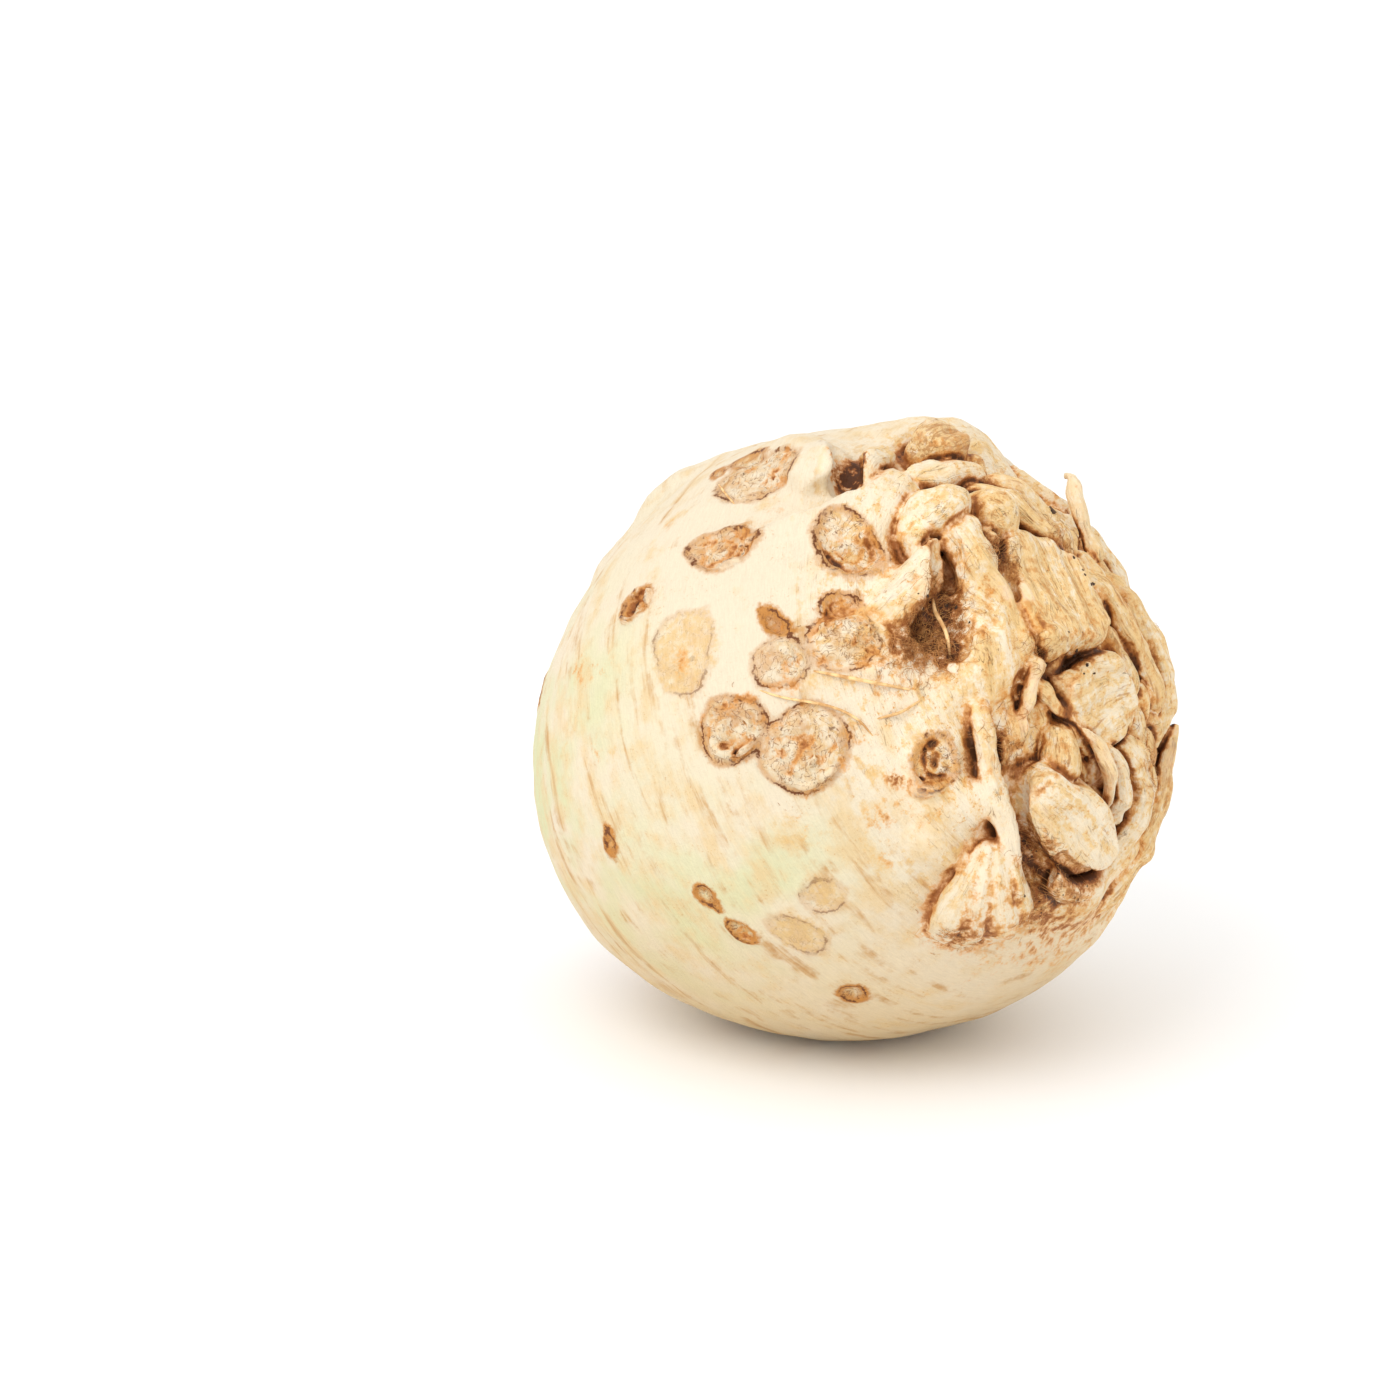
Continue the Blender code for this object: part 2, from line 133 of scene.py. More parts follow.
# Side roots: radii at the first, middle and last point, the blend with the body, the depth of the crease
# beside the root, how brown it is, then the route as turn, rise and height of the crest above the body.
SIDE_ROOTS = {
    "buttress": (5, 8, 4.8, 3.5, 0.15, 0.05, [
        (-42, 46, 0), (-24, 50, 2), (-5, 54, 4), (9, 59, 5), (16, 63, 4.5),
    ]),
    "top_lobe": (6, 7.5, 5, 3, 0.2, 0.0, [(-60, 74, 0), (-32, 72, 3), (-18, 66, 4.5), (-14, 61, 4)]),
    "top_flap": (2, 3, 3, 1, 0.5, 0.3, [(1, 61, 3), (4, 66, 4.5), (14, 71, 3)]),
    "far_ridge": (5, 7, 4.5, 3, 0.2, 0.1, [
        (-10, 84, 0), (60, 80, 4), (88, 73, 6), (98, 65, 4), (104, 56, 0),
    ]),
    "petal": (2.5, 3.5, 3, 0.8, 0.8, 0.1, [(16, 63, 3), (30, 65, 4.5), (46, 64, 4), (54, 62, 2)]),
    "thumb": (3.4, 4.8, 4.2, 2.0, 0.4, 0.15, [
        (25, 52, 6), (26, 47, 7), (28, 42, 7), (31, 37, 5.5), (32, 33, 3),
    ]),
    "bulge": (5, 7.5, 5, 3.5, 0.1, 0.1, [(28, 37, 3), (26, 31, 4.5), (24, 25, 4), (22, 19, 0)]),
    "bulge_side": (3, 4, 3, 2.5, 0.2, 0.15, [(31, 38, 3), (33, 32, 4), (33, 26, 3.5), (30, 20, 1)]),
    "left_plait": (1, 1.6, 1.2, 1.0, 0.3, 0.2, [
        (35, 46, 3.5), (35, 40, 4.5), (36, 34, 4.5), (37, 28, 3),
    ]),
    "cone_flap": (7, 6, 2.4, 2.5, 0.3, 0.05, [(2, 34, 0), (9, 39, 4), (14, 43, 6), (18, 47, 6)]),
    "valley_fold": (1.2, 1.8, 1.2, 0.6, 0.6, 0.4, [
        (33, 51, 3), (34, 45, 5), (34, 39, 4.5), (33, 33, 2.5),
    ]),
    "shoulder_fold": (2, 2.8, 2, 1, 0.8, 0.3, [(44, 60, 3), (53, 55, 5), (59, 49, 5), (61, 42, 3.5)]),
    "edge_fold": (2, 2.6, 2, 1, 0.8, 0.3, [(54, 62, 3), (63, 57, 5), (69, 50, 4.5), (69, 44, 2.5)]),
    "finger": (1.0, 1.7, 1.9, 0.6, 0.5, 0.25, [
        (101, 49, 8.5), (97, 48.5, 9.5), (91, 46.5, 8.5), (86, 43, 7), (82, 38, 5),
    ]),
    "long_strip": (2.2, 3.2, 2.5, 0.8, 0.8, 0.3, [
        (69, 42, 2), (71, 32, 4.5), (73, 22, 5), (75, 12, 4.5), (75, 3, 2),
    ]),
    "outer_strip": (2.5, 4.5, 3.5, 1, 0.8, 0.2, [
        (84, 37, 1), (84, 28, 4.5), (83, 18, 6), (81, 8, 5), (79, 0, 2.5),
    ]),
    "broken_strip": (1.2, 3.6, 3, 1, 0.8, 0.35, [
        (80.5, 3, 4.6), (77, -7, 4.6), (71, -16, 4), (64, -24, 2.5), (57, -31, 0),
    ]),
    "inner_strip": (3, 4, 3, 1, 0.8, 0.1, [(57, 6, 3.5), (61, -2, 5.5), (59, -10, 5), (53, -18, 2)]),
    "curved_rootlet": (1.6, 1.9, 1.4, 0.5, 0.6, 0.3, [
        (41, 13, 4.5), (44, 9, 6.5), (46, 4, 6.5), (46.5, 0, 6), (48, -4, 4),
    ]),
    "pale_fold": (2.2, 3.0, 2.2, 0.8, 0.6, 0.0, [(49, 8, 4), (51, 3, 6), (52, -2, 6), (54, -7, 3.5)]),
    "slant_ridge": (1.5, 2.2, 1.8, 0.8, 0.6, 0.25, [
        (29, 21, 1.5), (34, 19, 4), (38, 15, 5), (41, 13, 4.5),
    ]),
    "under_fold": (1.5, 2, 1.5, 0.8, 0.6, 0.3, [(34, 27, 2), (34, 23, 4), (32, 19, 4), (29, 15, 2)]),
    "slope_fold": (1.2, 1.8, 1.2, 0.8, 0.6, 0.3, [
        (19, 24, 0.5), (23, 20, 1.5), (27, 17, 2), (29, 11, 1),
    ]),
    "pale_rootlet": (1.9, 2.3, 2.0, 0.9, 0.6, 0.0, [
        (20.5, 20, 0.5), (21, 13, 2.8), (22, 6, 3.8), (24, -1, 4.2), (26.5, -8, 3.8), (29, -12, 2),
    ]),
    "thin_strip": (1.5, 1.8, 1.4, 0.6, 0.5, 0.3, [(25, 11, 0.5), (26, 3, 2), (27, -3, 2), (28, -7, 1)]),
    "clove_left": (2.4, 4.4, 3.0, 2.6, 0.35, 0.35, [
        (20.5, -8, 2.5), (18, -13, 5), (15.5, -18, 5), (15, -23, 1.5),
    ]),
    "clove_inner": (2.0, 3.8, 3.0, 2.6, 0.35, 0.15, [
        (21.5, -7, 3), (20.5, -13, 6), (19.5, -19, 6), (19.5, -25, 2),
    ]),
    "clove_middle": (2.0, 4.0, 3.0, 2.6, 0.35, 0.1, [
        (22.5, -7, 3), (23.5, -13, 6.5), (24.5, -19, 6.5), (24.5, -25, 2),
    ]),
    "clove_right": (2.2, 4.0, 3.0, 2.6, 0.35, 0.3, [
        (24.5, -8, 2.5), (26.5, -13, 5.5), (28.5, -18, 5.5), (29, -23, 1.5),
    ]),
    "lip": (1.8, 2.6, 1.8, 0.8, 1, 0.15, [
        (32, -8, 3.5), (36, -14, 5.5), (41, -17, 6), (47, -17, 5.5), (51, -12, 3.5),
    ]),
    "far_strip": (3, 4.5, 3, 1.5, 0.7, 0.2, [
        (100, 56, 0), (104, 42, 3.5), (104, 27, 5), (100, 13, 4.5), (94, 1, 1),
    ]),
    "back_strip": (2.8, 4, 2.5, 1.5, 0.7, 0.2, [
        (119, 34, 0), (121, 18, 3.5), (115, 5, 4.5), (106, -6, 3), (97, -16, 1),
    ]),
    "low_strip": (2.6, 3.8, 2.6, 3.0, 0.3, 0.3, [
        (95, -12, 2), (88, -20, 2.2), (79, -28, 1.2), (67, -37, -1),
    ]),
    "back_root": (5, 6, 4, 4, 0.2, 0.0, [(112, 64, 0), (128, 50, 3), (144, 32, 3), (155, 12, 0)]),
    "left_root": (4, 6, 4, 4, 0, 0.0, [(-130, 66, 0), (-118, 48, 2.5), (-108, 30, 0)]),
}

# Root stumps cut off flat: turn, rise, twist of the long axis, half the length, half the width and the
# height, the slope of the cut face along and across in degrees, and how brown it is.
CUT_STUMPS = {
    "leaf_heart": (*LEAF_END, 20, 9.0, 7.5, 4.5, 0, 0, 0.9),
    "big_plate": (46, 36, 80, 13, 11, 4.8, -5, 3, 0.25),
    "second_plate": (50, 14, 5, 12, 8.5, 4.8, 0, 0, 0.1),
    "top_stump": (48, 71, 10, 6, 5, 6.5, 0, 0, 0.7),
    "big_oval": (39, -5, -47, 12.5, 7.8, 6.0, 4, 8, 0.1),
    "far_plate": (114, 46, 30, 8.5, 6.5, 3.5, 4, 0, 0.3),
    "low_plate": (100, -24, -30, 7, 5.5, 3.5, 4, 0, 0.3),
    "back_plate": (136, 22, 60, 7.5, 5.5, 3, 4, 0, 0.3),
}

# Rounded nodules: turn, rise, twist, half the length, half the width, height, blend and brownness.
NODULES = {
    "comma_left": (21.5, 54.5, 28, 9.0, 6.0, 9, 0.8, 0.12),
    "comma_foot": (14.5, 50.5, 75, 6, 4, 6, 1.5, 0.15),
    "comma_right": (39.5, 53, -60, 7.4, 5.0, 8.0, 0.8, 0.3),
    "small_oval": (38, 7.5, 80, 6.8, 4.4, 5.5, 0.6, 0.3),
    "brown_nodule": (60, 66, 0, 4.5, 4, 4, 0.8, 0.6),
    "shoulder_bump": (56, 57, -20, 6, 4, 2.5, 1, 0.3),
    "edge_bump": (66, 49, -40, 6, 4, 2, 1, 0.3),
    "bead": (16.5, 47, 0, 2, 1.8, 6.5, 0.5, 0.3),
    "corner_bump": (29, 13, 30, 3.5, 2.6, 2, 0.8, 0.3),
    "white_nodule": (15, 2, -20, 8.5, 5.5, 2.2, 2, 0.0),
    "under_white": (12, -5, -30, 6, 4, 1.8, 2, 0.0),
    "scar_bump": (11, 11, 0, 6, 6, 1.5, 2, 0.1),
    "low_bump": (50, -24, -30, 9, 6, 2, 3, 0.2),
    "rough_bump": (37, -19, -30, 6, 4, 1.5, 1.5, 0.6),
    "disc_left": (-24, 14, 0, 7.5, 7.5, 1, 2, 0.0),
    "disc_right": (-11, 11, 0, 8.5, 8.5, 1, 2, 0.0),
    "disc_upper": (-16, 26, 0, 6.5, 6.5, 1.2, 2, 0.0),
    "disc_lobed": (-2, 30.5, 10, 8.5, 6.6, 2.6, 1.5, 0.05),
}

CLEAR_CREASE = 0.3  # from this crease on, a side root has a grain of its own
STUMP_CORNERS = 2.6  # 2 makes an oval, and more makes it squarer
STUMP_FOLDS = 0.25
STUMP_EDGE = 1.6  # how round the edge of the cut face is
RAISED_NODULE = 2.5  # from this height on, a nodule has a grain of its own
NODULE_GRAIN = 0.35
GAP_EDGE = 0.8

# Deep gaps between the roots: radius, then the route as turn, rise and height of the gap's axis.
GAPS = {
    "top_hole": (3.4, [(-6, 70, 3.5), (-5, 66, 1.5), (-5, 62, 1)]),
    "cone_gap": (2.4, [(20, 46, 6), (18, 41, 4), (16, 36, 1), (13, 32, 0)]),
    "side_gap": (1.8, [(18, 37, 2), (19, 32, 2), (19, 28, 1)]),
    "plate_gap": (1.8, [(32, 47, 5), (34, 42, 4), (34, 36, 3)]),
    "oval_gap": (2.6, [(27, 1, 1), (28, -4, 1), (30, -9, 1), (33, -13, 3)]),
    "valley": (2.8, [(26, 16, 2), (27, 9, 2), (27, 3, 1)]),
    "lip_gap": (1.2, [(35, -9, 5), (39, -12.5, 5.5), (44, -14, 5.5), (48, -13, 5)]),
    "comma_gap": (1.2, [(31, 61, 8), (31, 55, 9), (32, 50, 7)]),
    "top_valley": (2.2, [(-6, 61.5, 2.6), (-12, 58.5, 2.4), (-22, 55, 2), (-32, 51.5, 1.8)]),
}

# Scars: turn, rise, twist, half the length, half the width, height of the rim (or depth of the groove round
# it, below zero), depth of the middle, roughness there, and how brown it is.
SCARS = [
    (-37, 26.5, 80, 8.6, 6.6, 0.25, 0.0, 0.15, 0.3),
    (-24, 14, 20, 7.0, 6.2, -0.9, 0.0, 0.8, 0.7),
    (-11, 11, 0, 7.6, 7.8, -0.9, 0.1, 0.8, 0.6),
    (-16, 26, 10, 5.6, 4.8, -0.6, 0.0, 0.7, 0.5),
    (-4, 31, 10, 6.5, 6.0, -0.4, 0.2, 0.7, 0.5),
    (-5, 37, 0, 3.9, 2.6, 0.3, 0.5, 0.7, 0.9),
    (-5, 48, -15, 7.4, 5.2, 0.8, 0.8, 0.9, 0.7),
    (-38, 46, 20, 7.0, 4.6, 0.5, 0.7, 0.9, 0.7),
    (-45, 64, 30, 8.0, 6.0, -0.6, 0.2, 0.7, 0.5),
    (-62, 68, 20, 4.0, 2.6, 0.2, 0.5, 0.6, 0.9),
    (-55, 32, 60, 4.2, 3.4, 0.7, 0.8, 0.9, 1.0),
    (-18, 33, -45, 3.2, 1.6, 0.3, 1.4, 0.2, 1.2),
    (-30, -17, -45, 2.2, 2.0, 0.6, 0.5, 0.5, 1.3),
    (-27.5, -19, -45, 1.1, 0.9, 0.4, 0.4, 0.4, 1.3),
    (-23, -24, -40, 3.0, 2.5, 0.6, 0.5, 0.6, 1.2),
    (-2, -39, -10, 2.7, 2.1, 0.5, 0.6, 0.5, 1.2),
    (-50, -10, -75, 2.1, 1.1, 0.4, 0.5, 0.4, 1.3),
    (11, 9, 60, 5.6, 4.4, 0.4, 0.8, 0.9, 0.7),
    (-7, -14, 20, 3.8, 3.3, 0.3, 0.0, 0.4, 0.3),
    (-12, -23, -25, 5.5, 3.6, 0.3, 0.0, 0.4, 0.35),
    (-73, 63, 0, 2.4, 1.6, 0.3, 0.4, 0.4, 1.1),
    (-120, 20, 20, 5.0, 4.0, 0.5, 0.4, 0.7, 0.7),
    (-150, 5, 50, 6.0, 4.6, -0.6, 0.0, 0.7, 0.6),
    (-165, 40, 0, 4.5, 3.6, 0.5, 0.6, 0.7, 0.8),
    (165, -10, 30, 6.0, 5.0, -0.6, 0.0, 0.8, 0.6),
    (140, -28, 0, 3.6, 2.8, 0.5, 0.4, 0.6, 1.0),
    (-95, -30, 40, 3.2, 2.4, 0.4, 0.4, 0.5, 1.1),
    (-88, 8, 70, 3.0, 2.0, 0.4, 0.4, 0.5, 1.0),
]

# Folds of dried skin inside the rough scars, in millimetres, and how far out from the middle each lies.
FOLD_SHARES = (0.3, 0.5, 0.7, 0.85)
FOLD_RADIUS = 0.75
FOLD_HEIGHT = 1.3
FOLDED_FROM = 0.7  # the least roughness of a scar with folds
FOLD_SEED = 12
FOLD_SWEEP = (1.4, 2.8)  # radians that a fold runs round the scar
FOLD_KNOTS = 6
FOLD_CREST = (0, 1, 1.2, 1, 1, 0)  # how high each knot stands, as a share
SCAR_REACH = 8  # how far off the body a scar still shows

# The trimmed crown: the ring's distance from the axis, how many leaf bases, the first one's angle, their
# thickness and their height.
LEAF_RINGS = [(14.5, 4, 20, 2.6, 4.0), (21.0, 5, 65, 2.4, 2.8), (27.5, 5, 10, 2.2, 1.6)]
LEAF_SHARE = 0.8  # how much of its share of the ring a leaf base fills

# Lumps packed between the roots: their middle, the zone's half angle, how many, and their heights.
LUMP_MIDDLE = (70, 17)
LUMP_SPREAD = 43
LUMP_EDGE = 18  # degrees over which the zone fades out
LUMP_COUNT = 95
LUMP_TURN = 2.4  # radians from one lump to the next, which packs them evenly
LUMP_RISE = 1.6  # how far the whole zone is raised
LUMP_HEIGHT = (0.3, 2.4)
LUMP_TONE = (0.1, 0.6)
LUMP_BEND = 2.0
LUMP_SHAPE = (0.55, 1.0, 0.6)  # a lump's length, width and height count this much
LUMP_GRAIN = 0.2
LUMPS_FROM = 0.3  # from where in the fade the lumps have their own grain
VALLEY_WIDTH = 1.3
VALLEY_DEPTH = 0.9
LUMP_SEED = 5
RIDGES = 0.14  # height of the ridges along a root

# Flat stains: turn, rise, twist, half the length and half the width.
STAINS = [
    (-37, 26, 80, 8.2, 7.0),
    (-49, 6, 80, 3, 1.3),
    (-64, 3, 60, 2, 1),
    (-66, 51, 40, 4, 2),
    (-7, -14, 20, 3.8, 3.3),
    (-12, -23, -25, 5.5, 4.3),
    (-13, -3, -35, 4.5, 3),
    (-7, -3, 0, 1.5, 1.2),
    (1, 1, 60, 3.3, 2.8),
    (2, -8, -65, 8, 1.6),
    (2, 8, 40, 2, 1.4),
    (2, 34, 0, 5, 4),
    (-9, 24, 0, 3, 1.6),
]
STAIN_REACH = 10  # how far off the body a stain still shows

# Zones of green skin: turn, rise, spread in degrees and amount.
GREEN_PLACES = [
    (-75, -5, 26, 0.9),
    (-38, -28, 22, 0.9),
    (-58, 18, 12, 0.5),
    (-150, -30, 60, 0.9),
    (-15, -10, 14, 0.6),
]

# Places where soil has worked into the skin: turn, rise, spread in degrees and amount. Where the amount is
# below zero, the skin is cleaner than around it.
EARTHY_PLACES = [
    (13, 31, 6, 1.0),
    (18, 37, 4, 0.6),
    (34, 45, 4, 0.5),
    (31, -8, 4, 0.6),
    (36, -19, 8, 0.5),
    (26, 9, 5, 0.35),
    (45, 24, 6, 0.35),
    (17, -22, 5, 0.5),
    (22, -15, 5, 0.25),
    (63, 0, 6, 0.4),
    (62, 42, 5, 0.4),
    (-5.5, 66, 2.8, 1.8),
    (-14, 59, 6, -0.55),
    (-6, 58, 4, -0.3),
    (95, 10, 16, 0.3),
    (48, 62, 6, 0.25),
    (4, 22, 7, 0.3),
    (5, 7, 1.8, 0.8),
    (2, 0, 4, 0.35),
    (3, -8, 3.5, 0.3),
    (-9, -2, 4, 0.3),
    (-37, 25, 3.5, 0.4),
    (-66, 17, 4, 0.4),
    (-56, 19, 3.5, 0.35),
    (-53, 5, 3, 0.4),
    (-66, 48, 3, 0.35),
    (45, -28, 8, 0.35),
    (10, 4, 7, 0.3),
    (-20, 59, 8, 0.2),
    (30, -32, 12, 0.25),
    (60, -32, 12, 0.3),
    (-128, -26, 12, 0.5),
]

# The smoothest and whitest skin, with few streaks.
PALE_PLACE = (-30, 38)
PALE_SPREAD = 28

ROOT_SPREAD = 48  # degrees over which the root end's colours fade out
RIGHT_SPREAD = 40
WARM_HEIGHT = 80.0  # the skin gets warmer down from about 0.6 of this height
STEADY_JUMP = 2.5  # a grain that changes faster than this along an edge has a seam there

# How far off the skin its openness is measured, in millimetres, and the share of each.
# The openness darkens hollows as painted shade and lightens thin ridges as a painted highlight.
CAVITY_REACHES = [(0.9, 0.25), (1.8, 0.3), (3.2, 0.25), (5.0, 0.2)]

SKIN_LIGHT = (0.68, 0.74)  # how much of its colour's light the skin gives back, between fibres and on them
ROOT_LIGHT = 1.16  # how much more the root end gives back
SKIN_ROUGHNESS = 0.62
THREAD_ROUGHNESS = 0.7
FLOOR_ROUGHNESS = 0.8
PLANT_SHINE = 0.35

# Colours as on a screen.
# A painted highlight for thin ridges and edges.
RIDGE_HIGHLIGHT = (240, 222, 190)
CREAM = (255, 238, 208)
GREEN = (238, 236, 186)
WARM = (250, 216, 158)
TAN = (216, 160, 92)
GOLDEN = (248, 208, 140)
BROWN = (188, 124, 58)
ORANGE = (220, 140, 40)
SCAR = (236, 188, 118)
SCAR_EDGE = (122, 66, 20)
CURL = (142, 82, 30)
DARK_SCAR = (116, 66, 24)
RUST = (216, 146, 66)
EARTH = (146, 80, 24)
# The darkest of the soil and of the painted shade in hollows and creases.
DARK_SOIL_AND_SHADE = (74, 40, 16)
HAIR_PALE = (216, 156, 92)
HAIR_DARK = (150, 94, 46)
FIBRE_PALE = (244, 208, 150)
FIBRE_DARK = (200, 148, 90)
SOIL_PALE = (92, 66, 44)
SOIL_DARK = (40, 28, 20)

# Tufts of dried hairs: turn, rise, spread in degrees, how many, their length and how far they stand off.
HAIR_TUFTS = [
    (13, 31, 5.5, 420, 3.2, 1.6),
    (10, 28, 5, 80, 2.6, 0.8),
    (17, 38, 4, 90, 3.5, 1.6),
    (34, 44, 4, 110, 3.0, 1.4),
    (17, -22, 5, 60, 2.2, 0.7),
    (30, -8, 4, 60, 3.0, 1.2),
    (35, -17, 7, 160, 3.0, 1.0),
    (34, 26, 4, 50, 3.0, 1.0),
    (27, 12, 6, 90, 3.5, 1.0),
    (13, 9, 4, 50, 2.4, 0.6),
    (-11, 11, 7, 40, 1.6, 0.4),
    (-24, 14, 6, 40, 1.6, 0.4),
    (-3, 30, 8, 50, 1.8, 0.5),
    (64, 2, 8, 100, 3.5, 1.0),
    (62, 45, 5, 90, 3.0, 0.8),
    (-128, -26, 12, 160, 4.0, 1.2),
    (95, 10, 12, 70, 3.0, 0.5),
]
HAIR_SEED = 3
HAIR_KNOTS = 9
HAIR_BEND = 0.35  # the most that a hair turns at its start, in radians, and then from knot to knot
HAIR_WANDER = 0.3
HAIR_RADIUS = (0.03, 0.055)
SEARCHED_RADII = (78, 44, -0.35)  # where the skin is looked for from outside: first, last and step
THREAD_TIP = 0.25  # how far along the half circle a thread's thickness starts, in radians

# Long fibres: radius, how far they stand off in the middle, and the route as turn and rise.
FIBRES = [
    (0.35, 1.2, [(-10, 25), (-4, 24), (2, 23), (8, 22)]),
    (0.25, 0.8, [(-20, 21), (-15, 20), (-7, 19), (-2, 17), (1, 14)]),
    (0.3, 1.0, [(2, 17), (6, 18), (10, 20)]),
    (0.42, 1.5, [(16, 39), (15.5, 36), (16.5, 32), (17, 28)]),
    (0.22, 0.6, [(-62, 60), (-52, 58), (-44, 56)]),
]

# Crumbs of soil: turn, rise, spread in degrees, how many and their size.
CRUMB_PLACES = [
    (70, 50, 1.5, 5, 1.0),
    (60, 36, 6, 16, 0.5),
    (47, 24, 6, 16, 0.5),
    (15, 36, 4, 14, 0.5),
    (31, -10, 5, 16, 0.4),
    (36, -18, 6, 14, 0.4),
]
CRUMB_SEED = 8

FLOOR_SIZE = 6.0  # metres
FLOOR_WHITE = (0.93, 0.93, 0.93)
STUDIO_STRENGTH = 0.75
KEY_POWER = 1.5  # watts
EXPOSURE = 0.58
KEY_SIZE = 0.5
KEY_PLACE = (-0.35, -0.45, 0.6)
CAMERA_LENS = 85
CAMERA_RISE = 14.5
CAMERA_OFFSETS = (29.8, 5.9, 648.0)  # left of, above and back from the body's centre


def direction(turn, rise):
    """The unit vector from the body's centre towards a place on it."""
    turn, rise = math.radians(turn), math.radians(rise)
    return np.array((math.sin(turn) * math.cos(rise), -math.cos(turn) * math.cos(rise), math.sin(rise)))


def swollen_radius(towards):
    """Distances from the centre to the body's surface, before the roots, along unit vectors."""
    radius = np.full(towards.shape[:-1], BODY_RADIUS)
    for turn, rise, height, spread in SWELLINGS:
        angle = np.degrees(np.arccos(np.clip(towards @ direction(turn, rise), -1, 1)))
        radius += height * np.exp(-((angle / spread) ** 2))
    return radius


def place(turn, rise, lift=0.0):
    """The point that stands the lift above the body at a turn and rise."""
    towards = direction(turn, rise)
    return towards * (swollen_radius(towards) + lift)


def axes_at(turn, rise, twist):
    """Unit vectors along a twisted long axis, across it and out of the body."""
    outwards = direction(turn, rise)
    sideways = np.array((math.cos(math.radians(turn)), math.sin(math.radians(turn)), 0.0))
    upwards = np.cross(outwards, sideways)
    turned = math.radians(twist)
    along = math.cos(turned) * sideways + math.sin(turned) * upwards
    return along, np.cross(outwards, along), outwards


class Noise:
    """Smooth random values over a block of space, from about -1 to 1, stretched upwards if wished."""

    def __init__(self, seed, grain, grid, stretch=1.0):
        self.weights = []
        counts = []
        for axis, size in zip(grid.axes, (grain, grain, grain * stretch)):
            steps = (axis - axis[0]) / size + 1.5
            count = int(steps[-1]) + 3
            away = np.abs(steps[:, None] - np.arange(count)[None, :])
            near = 2 / 3 - away**2 + away**3 / 2
            far = np.clip(2 - away, 0, None) ** 3 / 6
            self.weights.append(np.where(away < 1, near, far).astype(np.float32))
            counts.append(count)
        values = np.random.default_rng(seed).uniform(-2.6, 2.6, counts)
        self.values = values.astype(np.float32)

    def inside(self, box):
        """The values in a box of the grid."""
        made = self.values
        for weights, part in zip(self.weights, box):
            made = np.tensordot(made, weights[part], axes=(0, 1))
        return made


